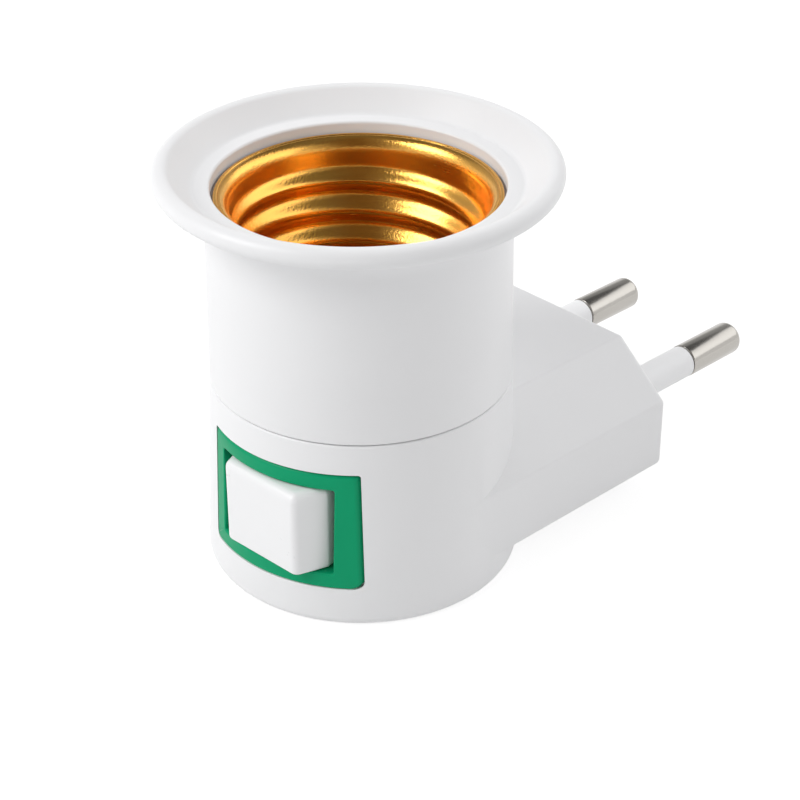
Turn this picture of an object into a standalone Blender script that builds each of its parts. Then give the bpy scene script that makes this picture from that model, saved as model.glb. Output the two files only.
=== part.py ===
"""Plug-in lamp holder: an E27 screw socket on a two-pin plug body, with a rocker switch."""

import math

import bmesh
import bpy
from mathutils import Matrix

MM = 0.001
TURN = 2 * math.pi

# Clearances
GAP = 0.3 * MM
SHANK_GAP = 0.2 * MM
SEAM_GAP = 0.3 * MM
WORKING_GAP = 0.12 * MM

# Screw shell for an E27 cap
THREAD_PITCH = 3.629 * MM
THREAD_ROOT_RADIUS = 13.35 * MM
THREAD_DEPTH = 1.1 * MM
THREAD_START = 2.3 * MM
SHELL_WALL = 0.3 * MM
SHELL_HEIGHT = 20.04 * MM
SHELL_COLLAR = 1.9 * MM
SHELL_FLARE = 1.33 * MM
SHELL_FOOT_RADIUS = 7.0 * MM
SHELL_FOOT_BEND = 0.6 * MM
SHELL_STEPS = 28
SHELL_ROWS_PER_PITCH = 4

# Upper housing
UPPER_WALL = 1.93 * MM
BODY_DRAFT = 0.26 * MM
SEAM_HEIGHT = 22.04 * MM
SEAM_ROUNDING = 0.3 * MM
SPIGOT_DEPTH = 3.29 * MM
SPIGOT_WALL = 1.7 * MM
LEDGE_RADIUS = 10.6 * MM
LEDGE_THICKNESS = 1.4 * MM
RIM_DEPTH = 1.06 * MM
RIM_SEAT_DROP = 0.65 * MM
RIM_SEAT_ROUNDING = 0.25 * MM
RING_WIDTH = 1.86 * MM
FLANGE_RADIUS = 21.28 * MM
LIP_ROUNDING = 1.1 * MM
LIP_RISE = 1.53 * MM
FLARE_HEIGHT = 3.8 * MM
BODY_STEPS = 48

# Lower housing
CUP_FOOT_RADIUS = 17.28 * MM
CUP_FOOT_ROUNDING = 1.03 * MM
CUP_WALL = 2.0 * MM
CUP_FOOT_WALL = 2.45 * MM
BLOCK_HALF_WIDTH = 16.75 * MM
BLOCK_TOP_HALF_WIDTH = 9.75 * MM
BLOCK_FOOT_HALF_WIDTH = 12.8 * MM
BLOCK_HEIGHT = 17.65 * MM
BLOCK_SHOULDER_HEIGHT = 11.65 * MM
BLOCK_CHAMFER_HEIGHT = 3.6 * MM
BLOCK_LENGTH = 31.9 * MM
BLOCK_WALL = 1.9 * MM
BLOCK_ROUNDING = 0.8 * MM
BLOCK_CAVITY_START = 9.0 * MM

# Base cover and its screws
COVER_THICKNESS = 2.2 * MM
COVER_MARGIN = 0.65 * MM
COVER_BLOCK_HALF_WIDTH = 11.3 * MM
SCREW_SHANK_RADIUS = 1.1 * MM
SCREW_HEAD_RADIUS = 2.2 * MM
SCREW_HEAD_HEIGHT = 0.85 * MM
SCREW_HEAD_DEPTH = 0.25 * MM
SCREW_HEAD_ROUNDING = 0.3 * MM
SCREW_LENGTH = 8.4 * MM
SCREW_POINT = 1.0 * MM
SCREW_SLOT_WIDTH = 0.5 * MM
SCREW_SLOT_DEPTH = 0.45 * MM
BOSS_RADIUS = 2.6 * MM
BOSS_HEIGHT = 12.0 * MM
CUP_SCREW_CIRCLE = 12.4 * MM
CUP_SCREW_ANGLE = math.radians(20)
BLOCK_SCREW_INSET = 10.5 * MM

# Plug pins
PIN_X = 8.25 * MM
PIN_Z = 8.05 * MM
PIN_RADIUS = 2.0 * MM
PIN_REACH = 22.5 * MM
PIN_NOSE = 0.9 * MM
PIN_METAL_LENGTH = 8.35 * MM
PIN_SHANK_RADIUS = 1.2 * MM
PIN_COLLAR_THICKNESS = 1.1 * MM
PIN_HEAD_RADIUS = 1.9 * MM
PIN_HEAD_THICKNESS = 0.8 * MM
SLEEVE_RADIUS = 1.92 * MM
SLEEVE_COLLAR_RADIUS = 2.6 * MM
SLEEVE_COLLAR_THICKNESS = 0.7 * MM
PIN_RIB_THICKNESS = 1.9 * MM
LUG_THICKNESS = 0.5 * MM
LUG_HALF_WIDTH = 2.3 * MM
LUG_REACH_DOWN = 2.4 * MM
LUG_REACH_UP = 5.0 * MM

# Contact base and what it carries
BASE_THICKNESS = 2.2 * MM
BASE_CHAMFER = 0.3 * MM
RIVET_SHANK_RADIUS = 0.7 * MM
RIVET_HEAD_RADIUS = 1.3 * MM
RIVET_HEAD_HEIGHT = 0.5 * MM
SHEET = 0.4 * MM
LEAF_HALF_WIDTH = 2.5 * MM
LEAF_TAIL = 2.2 * MM
LEAF_FOOT = 5.0 * MM
LEAF_BEND_RUN = 1.2 * MM
LEAF_BEND_START = 0.5 * MM
LEAF_RISE = 3.2 * MM
LEAF_TIP_HALF = 2.5 * MM
LEAF_TIP_RUN = 1.1 * MM
LEAF_TIP_DROP = 0.9 * MM
SHELL_RIVET_X = 4.2 * MM
SHELL_RIVET_Y = 6.9 * MM
STRAP_HALF_WIDTH = 1.4 * MM
STRAP_LEG_Y = 5.0 * MM
STRAP_TAB = 1.5 * MM
STRAP_DROP = 5.2 * MM

# Switch, in a frame turned about the holder's axis: X across, -Y outwards
SWITCH_TURN = math.radians(13)
FRAME_FOOT = 4.8 * MM
FRAME_DROP = 3.64 * MM
PIVOT_DEPTH = 9.9 * MM
ROCKER_FACE = 6.9 * MM
ROCKER_FACE_HALF = 5.1 * MM
ROCKER_SIDE_HALF = 6.75 * MM
ROCKER_SIDE_FACE = 3.75 * MM
ROCKER_BACK_HALF = 6.4 * MM
ROCKER_BACK = 2.5 * MM
ROCKER_WALL = 1.1 * MM
ROCKER_ROUNDING = 0.2 * MM
ROCKER_EAR_HALF = 2.2 * MM
ROCKER_EAR_BACK = 1.8 * MM
ROCKER_TILT = math.radians(10)
TRUNNION_RADIUS = 1.2 * MM
TRUNNION_LENGTH = 0.95 * MM
WINDOW_HALF = 6.8 * MM
WINDOW_GROWTH = 0.9 * MM
WINDOW_FLARE_DEPTH = 2.0 * MM
WINDOW_MOUTH = 14.9 * MM
BOX_WALL = 0.9 * MM
BOX_BACK = -1.0 * MM
BOX_BACK_WALL = 1.2 * MM
BEZEL_HALF = 9.25 * MM
BEZEL_ABOVE = 1.85 * MM
BEZEL_BELOW = 1.55 * MM
BEZEL_THICKNESS = 0.8 * MM
BEZEL_SINK = 0.35 * MM
BEZEL_ROUNDING = 1.0 * MM

# Switch contacts
TUBE_RADIUS = 2.2 * MM
TUBE_BORE = 1.5 * MM
TUBE_START = -4.5 * MM
TUBE_END = 3.2 * MM
PLUNGER_RADIUS = 1.25 * MM
PLUNGER_LENGTH = 5.7 * MM
PLUNGER_REACH = 7.0 * MM
PLUNGER_NOSE_RADIUS = 0.9 * MM
PLUNGER_NOSE_LENGTH = 1.5 * MM
PLUNGER_CHAMFER = 0.4 * MM
SPRING_WIRE = 0.25 * MM
SPRING_TURNS = 5
SEESAW_THICKNESS = 0.5 * MM
SEESAW_HALF_LENGTH = 5.6 * MM
SEESAW_TILT = math.radians(4)
TERMINAL_THICKNESS = 0.8 * MM
TERMINAL_MARGIN = 1.8 * MM
TERMINAL_TAIL = 6.0 * MM
KNIFE_HALF = 0.1 * MM
KNIFE_RISE = 0.5 * MM
SIDE_TERMINAL_X = 6.6 * MM
SIDE_TERMINAL_REACH = 3.4 * MM
SIDE_TERMINAL_THICKNESS = 0.5 * MM
BUTTON_X = 4.6 * MM
BUTTON_RADIUS = 1.1 * MM
BUTTON_HEIGHT = 0.5 * MM
BUTTON_CHAMFER = 0.25 * MM
BUTTON_SHANK_RADIUS = 0.6 * MM
BUTTON_TAIL_RADIUS = 0.9 * MM

# Wires
WIRE_RADIUS = 0.6 * MM
WIRE_LEAD = 2.0 * MM
WIRE_INSET = 1.0 * MM

# Places worked out from the sizes above
SHELL_ROOT_OUTER = THREAD_ROOT_RADIUS + SHELL_WALL
THREAD_CREST_RADIUS = THREAD_ROOT_RADIUS - THREAD_DEPTH
RIM_RADIUS = SHELL_ROOT_OUTER + SHELL_FLARE
BORE_RADIUS = SHELL_ROOT_OUTER + 1.5 * GAP
COUNTERBORE_RADIUS = RIM_RADIUS + GAP
NECK_RADIUS = BORE_RADIUS + UPPER_WALL
SEAM_RADIUS = NECK_RADIUS + BODY_DRAFT
CUP_TOP_Z = SEAM_HEIGHT - SEAM_GAP / 2
UPPER_FOOT_Z = SEAM_HEIGHT + SEAM_GAP / 2
CUP_TOP_INNER = SEAM_RADIUS - CUP_WALL
SPIGOT_RADIUS = CUP_TOP_INNER - GAP
POCKET_RADIUS = SPIGOT_RADIUS - SPIGOT_WALL
SPIGOT_Z = UPPER_FOOT_Z - SPIGOT_DEPTH
LEDGE_Z = SPIGOT_Z + LEDGE_THICKNESS
BASE_Z = LEDGE_Z + GAP
FLOOR_Z = BASE_Z + BASE_THICKNESS
SHELL_FOOT_Z = FLOOR_Z + GAP
RIM_Z = FLOOR_Z + SHELL_HEIGHT
DISH_Z = RIM_Z + RIM_DEPTH
NECK_Z = DISH_Z - FLARE_HEIGHT
LIP_Z = DISH_Z + LIP_RISE
LIP_RADIUS = FLANGE_RADIUS - LIP_ROUNDING
DISH_RADIUS = COUNTERBORE_RADIUS + RING_WIDTH
COVER_SEAT_Z = COVER_THICKNESS + GAP
BOSS_FOOT_Z = COVER_SEAT_Z + GAP / 3
COVER_RADIUS = CUP_FOOT_RADIUS - CUP_FOOT_ROUNDING - COVER_MARGIN
PILOT_RADIUS = SCREW_SHANK_RADIUS + SHANK_GAP
SHANK_BORE = PIN_SHANK_RADIUS + SHANK_GAP
RIVET_HOLE = RIVET_SHANK_RADIUS + SHANK_GAP
BUTTON_HOLE = BUTTON_SHANK_RADIUS + SHANK_GAP
BLOCK_INNER_END = BLOCK_LENGTH - BLOCK_WALL
BLOCK_SCREW_Y = BLOCK_LENGTH - BLOCK_SCREW_INSET
PIN_END = BLOCK_LENGTH + PIN_REACH
SLEEVE_START = BLOCK_INNER_END - GAP - SLEEVE_COLLAR_THICKNESS
PIN_COLLAR_END = SLEEVE_START - GAP
PIN_COLLAR_START = PIN_COLLAR_END - PIN_COLLAR_THICKNESS
RIB_END = PIN_COLLAR_START - GAP
RIB_START = RIB_END - PIN_RIB_THICKNESS
LUG_END = RIB_START - GAP
LUG_START = LUG_END - LUG_THICKNESS
PIN_HEAD_END = LUG_START - GAP
PIN_HEAD_START = PIN_HEAD_END - PIN_HEAD_THICKNESS
PIN_METAL_START = PIN_END - PIN_METAL_LENGTH
BEZEL_BOTTOM = FRAME_FOOT
BEZEL_TOP = SEAM_HEIGHT - FRAME_DROP
WINDOW_HALF_HEIGHT = (BEZEL_TOP - BEZEL_BOTTOM - BEZEL_ABOVE - BEZEL_BELOW) / 2
SWITCH_Z = BEZEL_BOTTOM + BEZEL_BELOW + WINDOW_HALF_HEIGHT
ROCKER_HEIGHT = 2 * (WINDOW_HALF_HEIGHT - GAP)
SEESAW_HALF_WIDTH = ROCKER_HEIGHT / 4
TERMINAL_HALF_WIDTH = ROCKER_HEIGHT / 2 - TERMINAL_MARGIN
WINDOW_BACK_HALF = WINDOW_HALF + WINDOW_GROWTH
BOX_HALF = WINDOW_BACK_HALF + BOX_WALL
BOX_HALF_HEIGHT = WINDOW_HALF_HEIGHT + 1.1 * BOX_WALL
OPENING_HALF = BOX_HALF + GAP
OPENING_HALF_HEIGHT = BOX_HALF_HEIGHT + GAP
SEESAW_PIVOT = PIVOT_DEPTH - PLUNGER_REACH - WORKING_GAP - SEESAW_THICKNESS
BUTTON_CLOSED = SEESAW_PIVOT - BUTTON_X * math.sin(SEESAW_TILT)


def clear_scene():
    for thing in list(bpy.data.objects):
        bpy.data.objects.remove(thing, do_unlink=True)


def collection_named(name):
    collection = bpy.data.collections.new(name)
    bpy.context.scene.collection.children.link(collection)
    return collection


def material(name, colour, roughness, metallic=0.0):
    made = bpy.data.materials.new(name)
    made.use_nodes = True
    shader = made.node_tree.nodes["Principled BSDF"]
    shader.inputs["Base Color"].default_value = (*colour, 1.0)
    shader.inputs["Roughness"].default_value = roughness
    shader.inputs["Metallic"].default_value = metallic
    made.diffuse_color = (*colour, 1.0)
    return made


# In this moulding, the cavities and the recess of the cover meet edge to edge
MANIFOLD_CUTS = ("lower_housing",)

clear_scene()
PARTS = collection_named("plug_in_lamp_holder")
CUTTERS = collection_named("cutters")
HOUSING_WHITE = material("housing_white", (0.87, 0.87, 0.85), 0.4)
ROCKER_WHITE = material("rocker_white", (0.88, 0.88, 0.86), 0.35)
SLEEVE_WHITE = material("sleeve_white", (0.86, 0.86, 0.84), 0.45)
FRAME_GREEN = material("frame_green", (0.02, 0.36, 0.18), 0.45)
INSULATOR = material("insulator_cream", (0.72, 0.68, 0.58), 0.6)
SHELL_BRASS = material("shell_brass", (0.83, 0.60, 0.24), 0.25, 1.0)
CONTACT_BRASS = material("contact_brass", (0.78, 0.58, 0.28), 0.35, 1.0)
PIN_NICKEL = material("pin_nickel", (0.72, 0.70, 0.66), 0.25, 1.0)
BUTTON_SILVER = material("button_silver", (0.85, 0.85, 0.83), 0.3, 1.0)
SCREW_STEEL = material("screw_steel", (0.60, 0.61, 0.62), 0.35, 1.0)
WIRE_BROWN = material("wire_brown", (0.22, 0.10, 0.05), 0.5)
WIRE_BLUE = material("wire_blue", (0.04, 0.14, 0.42), 0.5)

SWITCH_STATION = bpy.data.objects.new("switch_station", None)
SWITCH_STATION.rotation_euler.z = SWITCH_TURN
PARTS.objects.link(SWITCH_STATION)


def place(name, mesh, finish, parent=None, location=(0, 0, 0), rotation=(0, 0, 0)):
    """Object of a mesh: a part if it has a finish, or else a cutter."""
    thing = bpy.data.objects.new(name, mesh)
    thing.location = location
    thing.rotation_euler = rotation
    thing.parent = parent
    if finish:
        mesh.materials.clear()
        mesh.materials.append(finish)
        PARTS.objects.link(thing)
    else:
        CUTTERS.objects.link(thing)
        thing.hide_render = True
        thing.display_type = "WIRE"
    return thing


def mesh_of(name, shape, sharp=math.radians(35)):
    mesh = bpy.data.meshes.new(name)
    bmesh.ops.remove_doubles(shape, verts=shape.verts, dist=1e-7)
    bmesh.ops.recalc_face_normals(shape, faces=shape.faces)
    shape.to_mesh(mesh)
    shape.free()
    mesh.shade_smooth()
    mesh.set_sharp_from_angle(angle=sharp)
    return mesh


def box_mesh(name, low, high, rounding=0.0, edges=None):
    """Box between two corners, with all its edges rounded, or those that edges() picks."""
    shape = bmesh.new()
    bmesh.ops.create_cube(shape, size=1.0)
    size = [b - a for a, b in zip(low, high)]
    middle = [(a + b) / 2 for a, b in zip(low, high)]
    bmesh.ops.scale(shape, vec=size, verts=shape.verts)
    bmesh.ops.translate(shape, vec=middle, verts=shape.verts)
    if rounding:
        round_edges(shape, rounding, edges)
    return mesh_of(name, shape)


def round_edges(shape, rounding, edges=None, segments=2):
    picked = [edge for edge in shape.edges if edges is None or edges(edge)]
    bmesh.ops.bevel(
        shape, geom=picked, offset=rounding, segments=segments, profile=0.5, affect="EDGES"
    )


def cylinder_mesh(name, radius, low, high, sides=24):
    shape = bmesh.new()
    bmesh.ops.create_cone(
        shape,
        cap_ends=True,
        segments=sides,
        radius1=radius,
        radius2=radius,
        depth=high - low,
        matrix=Matrix.Translation((0, 0, (low + high) / 2)),
    )
    return mesh_of(name, shape)


def outline_mesh(name, outlines, low, high, rounding=0.0):
    """Flat outlines in the XY plane, the first with the others as its holes, from Z low to high."""
    curve = bpy.data.curves.new(name, "CURVE")
    curve.dimensions = "2D"
    curve.fill_mode = "BOTH"
    curve.extrude = (high - low) / 2
    for outline in outlines:
        spline = curve.splines.new("POLY")
        spline.points.add(len(outline) - 1)
        for point, (x, y) in zip(spline.points, outline):
            point.co = (x, y, 0.0, 1.0)
        spline.use_cyclic_u = True
    guide = bpy.data.objects.new(name, curve)
    PARTS.objects.link(guide)
    graph = bpy.context.evaluated_depsgraph_get()
    mesh = bpy.data.meshes.new_from_object(guide.evaluated_get(graph))
    bpy.data.objects.remove(guide)
    shape = bmesh.new()
    shape.from_mesh(mesh)
    bpy.data.meshes.remove(mesh)
    bmesh.ops.remove_doubles(shape, verts=shape.verts, dist=1e-7)
    bmesh.ops.translate(shape, vec=(0, 0, (low + high) / 2), verts=shape.verts)
    if rounding:
        bmesh.ops.dissolve_limit(
            shape, angle_limit=math.radians(1), verts=shape.verts, edges=shape.edges
        )
        round_edges(shape, rounding)
    return mesh_of(name, shape)


def turned(name, profile, steps, finish, **where):
    """Profile of (radius, height), down its outer side, turned about Z."""
    mesh = bpy.data.meshes.new(name)
    closed = profile[0][0] > 0 or profile[-1][0] > 0
    count = len(profile)
    edges = [(i, (i + 1) % count) for i in range(count if closed else count - 1)]
    mesh.from_pydata([(radius, 0, height) for radius, height in profile], edges, [])
    thing = place(name, mesh, finish, **where)
    screw = thing.modifiers.new("turn", "SCREW")
    screw.steps = steps
    screw.render_steps = steps
    screw.use_merge_vertices = True
    screw.merge_threshold = 0.001 * MM
    screw.use_smooth_shade = True
    return thing


def boolean(target, other, operation):
    modifier = target.modifiers.new(other.name, "BOOLEAN")
    modifier.operation = operation
    modifier.object = other
    if target.name in MANIFOLD_CUTS:
        modifier.solver = "MANIFOLD"


def cut(target, *cutters):
    for cutter in cutters:
        boolean(target, cutter, "DIFFERENCE")


def join(target, *others):
    for other in others:
        boolean(target, other, "UNION")


def keep_inside(target, other):
    boolean(target, other, "INTERSECT")


def arc(centre, radius, start, end, steps):
    """Points along an arc, with its angles in degrees."""
    points = []
    for step in range(steps + 1):
        angle = math.radians(start + (end - start) * step / steps)
        points.append((centre[0] + radius * math.cos(angle), centre[1] + radius * math.sin(angle)))
    return points


def cup_radius(height):
    """Outer radius of the lower housing's cup at a height."""
    share = (height - CUP_FOOT_ROUNDING) / (CUP_TOP_Z - CUP_FOOT_ROUNDING)
    return CUP_FOOT_RADIUS + (SEAM_RADIUS - CUP_FOOT_RADIUS) * share


def rivet_profile(top, grip, head_radius, head_height, shank_radius):
    """Rivet standing on a top face, with its tail head below the grip."""
    low = top - grip
    tail = 0.85 * head_radius
    return [
        (0, top + head_height),
        (0.6 * head_radius, top + head_height),
        (head_radius, top + 0.4 * head_height),
        (head_radius, top),
        (shank_radius, top),
        (shank_radius, low),
        (tail, low),
        (0.7 * tail, low - head_height),
        (0, low - head_height),
    ]


def upper_housing():
    """Socket body: dished flange, neck, bore for the screw shell and spigot for the cup."""
    lip = arc((LIP_RADIUS, LIP_Z), LIP_ROUNDING, 130, -80, 6)
    flare_radius = lip[-1][0] - NECK_RADIUS
    flare_height = lip[-1][1] - NECK_Z
    flare = []
    for point in arc((1, 0), 1, 90, 180, 5)[1:]:
        flare.append((NECK_RADIUS + flare_radius * point[0], NECK_Z + flare_height * point[1]))
    edge = RIM_SEAT_ROUNDING
    profile = [
        *lip,
        *flare,
        *arc((SEAM_RADIUS - SEAM_ROUNDING, UPPER_FOOT_Z + SEAM_ROUNDING), SEAM_ROUNDING, 0, -90, 2),
        (SPIGOT_RADIUS, UPPER_FOOT_Z),
        (SPIGOT_RADIUS, SPIGOT_Z),
        (LEDGE_RADIUS, SPIGOT_Z),
        (LEDGE_RADIUS, LEDGE_Z),
        (POCKET_RADIUS, LEDGE_Z),
        (POCKET_RADIUS, FLOOR_Z),
        (BORE_RADIUS, FLOOR_Z),
        (BORE_RADIUS, RIM_Z - SHELL_COLLAR),
        (COUNTERBORE_RADIUS, RIM_Z - RIM_SEAT_DROP),
        *arc((COUNTERBORE_RADIUS + edge, DISH_Z - edge), edge, 180, 90, 2),
        (DISH_RADIUS, DISH_Z),
    ]
    turned("upper_housing", profile, BODY_STEPS, HOUSING_WHITE)


def shell_radius(height, turn):
    """Middle radius of the brass wall: a rounded helical wave that fades out at both ends."""
    crest = (THREAD_ROOT_RADIUS + THREAD_CREST_RADIUS + SHELL_WALL) / 2
    wave = math.cos(TURN * ((height - THREAD_START) / THREAD_PITCH - turn))
    foot = SHELL_FOOT_Z + THREAD_PITCH / 2
    collar = RIM_Z - SHELL_COLLAR - THREAD_PITCH / 4
    fade = min(1, max(0, (height - foot) / THREAD_PITCH), max(0, (collar - height) / THREAD_PITCH * 2))
    return crest + THREAD_DEPTH / 2 * (1 - fade + fade * wave)


def screw_shell():
    """Drawn brass shell: in-turned foot, rolled thread, collar and flared rim."""
    straight = (THREAD_ROOT_RADIUS + THREAD_CREST_RADIUS + SHELL_WALL) / 2 + THREAD_DEPTH / 2
    foot_z = SHELL_FOOT_Z + SHELL_WALL / 2
    wall_foot = foot_z + SHELL_FOOT_BEND
    thread_height = RIM_Z - SHELL_COLLAR - wall_foot
    rows = [(SHELL_FOOT_RADIUS, foot_z), (straight - SHELL_FOOT_BEND, foot_z)]
    count = round(thread_height / THREAD_PITCH * SHELL_ROWS_PER_PITCH)
    heights = [wall_foot + thread_height * i / count for i in range(count + 1)]
    flare = [
        (straight + 0.3 * SHELL_FLARE, RIM_Z - RIM_SEAT_DROP - SHELL_WALL),
        (RIM_RADIUS - SHELL_WALL, RIM_Z - SHELL_WALL / 2),
        (RIM_RADIUS, RIM_Z - SHELL_WALL / 2),
    ]
    shape = bmesh.new()
    rings = []
    for radius, height in [*rows, *[(None, h) for h in heights], *flare]:
        ring = []
        for step in range(SHELL_STEPS):
            turn = step / SHELL_STEPS
            reach = shell_radius(height, turn) if radius is None else radius
            angle = TURN * turn
            ring.append(shape.verts.new((reach * math.cos(angle), reach * math.sin(angle), height)))
        rings.append(ring)
    for below, above in zip(rings, rings[1:]):
        for step in range(SHELL_STEPS):
            after = (step + 1) % SHELL_STEPS
            shape.faces.new((below[step], below[after], above[after], above[step]))
    shell = place("screw_shell", mesh_of("screw_shell", shape, math.radians(50)), SHELL_BRASS)
    wall = shell.modifiers.new("wall", "SOLIDIFY")
    wall.thickness = SHELL_WALL
    wall.offset = 0
    holes = []
    for x, y in shell_rivet_places():
        hole = cylinder_mesh("shell_rivet_hole", RIVET_HOLE, -GAP, SHELL_WALL + GAP, 12)
        holes.append(place("shell_rivet_hole", hole, None, location=(x, y, SHELL_FOOT_Z)))
    cut(shell, *holes)


def shell_rivet_places():
    return ((SHELL_RIVET_X, SHELL_RIVET_Y), (-SHELL_RIVET_X, -SHELL_RIVET_Y))


def contact_base():
    """Insulating disc, with its three rivet holes."""
    profile = [
        (0, FLOOR_Z),
        (POCKET_RADIUS - GAP - BASE_CHAMFER, FLOOR_Z),
        (POCKET_RADIUS - GAP, FLOOR_Z - BASE_CHAMFER),
        (POCKET_RADIUS - GAP, BASE_Z),
        (0, BASE_Z),
    ]
    base = turned("contact_base", profile, 40, INSULATOR)
    for x, y in ((0, 0), *shell_rivet_places()):
        hole = cylinder_mesh("base_rivet_hole", RIVET_HOLE, -GAP, BASE_THICKNESS + GAP, 12)
        cut(base, place("base_rivet_hole", hole, None, location=(x, y, BASE_Z)))


def centre_contact():
    """Bronze leaf: a riveted foot, a sprung rise and a rounded tip over the axis."""
    foot = FLOOR_Z + GAP
    rise = foot + LEAF_RISE
    bend = LEAF_FOOT + LEAF_BEND_RUN
    path = [
        (-LEAF_TAIL, foot),
        (LEAF_FOOT, foot),
        (bend, foot + LEAF_BEND_START),
        (bend, foot + LEAF_BEND_RUN),
        (LEAF_TIP_HALF, rise),
        (-LEAF_TIP_HALF, rise),
        (-LEAF_TIP_HALF - LEAF_TIP_RUN, rise - LEAF_TIP_DROP),
    ]
    mesh = strip_mesh("centre_contact", path, LEAF_HALF_WIDTH, SHEET)
    strip = place("centre_contact", mesh, CONTACT_BRASS)
    hole = cylinder_mesh("leaf_rivet_hole", RIVET_HOLE, -GAP, SHEET + GAP, 12)
    cut(strip, place("leaf_rivet_hole", hole, None, location=(0, 0, foot)))


def strip_mesh(name, path, half_width, thickness):
    """Bent sheet: a path of (y, z) as wide as given along X, thickened to its left side."""
    legs = [unit(start, end) for start, end in zip(path, path[1:])]
    left = []
    for point, first, second in zip(path, [legs[0], *legs], [*legs, legs[-1]]):
        x = -(first[1] + second[1])
        y = first[0] + second[0]
        scale = 2 * thickness / (x * x + y * y)
        left.append((point[0] + x * scale, point[1] + y * scale))
    outline = [*path, *reversed(left)]
    mesh = outline_mesh(name, [outline], -half_width, half_width)
    mesh.transform(Matrix(((0, 0, 1, 0), (1, 0, 0, 0), (0, 1, 0, 0), (0, 0, 0, 1))))
    return mesh


def unit(start, end):
    x = end[0] - start[0]
    y = end[1] - start[1]
    length = math.hypot(x, y)
    return (x / length, y / length)


def block_outline(inset=0.0):
    """Section of the plug block across Y, as (x, z), moved inwards by an inset."""
    half = [
        (BLOCK_FOOT_HALF_WIDTH, 0.0),
        (BLOCK_HALF_WIDTH, BLOCK_CHAMFER_HEIGHT),
        (BLOCK_HALF_WIDTH, BLOCK_SHOULDER_HEIGHT),
        (BLOCK_TOP_HALF_WIDTH, BLOCK_HEIGHT),
    ]
    outline = [*half, *[(-x, z) for x, z in reversed(half)]]
    return inset_outline(outline, inset)


def inset_outline(outline, inset):
    """Outline that turns left, with each side moved inwards."""
    moved = []
    count = len(outline)
    for index, point in enumerate(outline):
        first = unit(outline[index - 1], point)
        second = unit(point, outline[(index + 1) % count])
        x = -(first[1] + second[1])
        y = first[0] + second[0]
        scale = 2 / (x * x + y * y)
        moved.append((point[0] + inset * x * scale, point[1] + inset * y * scale))
    return moved


def along_y(mesh):
    """Turns a mesh from X, Y, Z to X, Z, Y, so that what stood along Z lies along Y."""
    mesh.transform(Matrix(((1, 0, 0, 0), (0, 0, 1, 0), (0, 1, 0, 0), (0, 0, 0, 1))))
    mesh.flip_normals()
    return mesh


def cup_solid(name, shrink, finish, low, high):
    """Solid cone of the cup's outside, moved inwards by a shrink."""
    profile = [
        (0, high),
        (cup_radius(high) - shrink, high),
        (cup_radius(low) - shrink, low),
        (0, low),
    ]
    return turned(name, profile, BODY_STEPS, finish)


def switch_cutter(name, outline, low, high):
    mesh = outline_mesh(name, [outline], low, high)
    return place(name, mesh, None, parent=SWITCH_STATION)


def rectangle(x_low, x_high, y_low, y_high):
    return [(x_low, y_low), (x_high, y_low), (x_high, y_high), (x_low, y_high)]


def screw_places():
    x = CUP_SCREW_CIRCLE * math.cos(CUP_SCREW_ANGLE)
    y = CUP_SCREW_CIRCLE * math.sin(CUP_SCREW_ANGLE)
    return ((x, y), (-x, y), (0, BLOCK_SCREW_Y))


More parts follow.
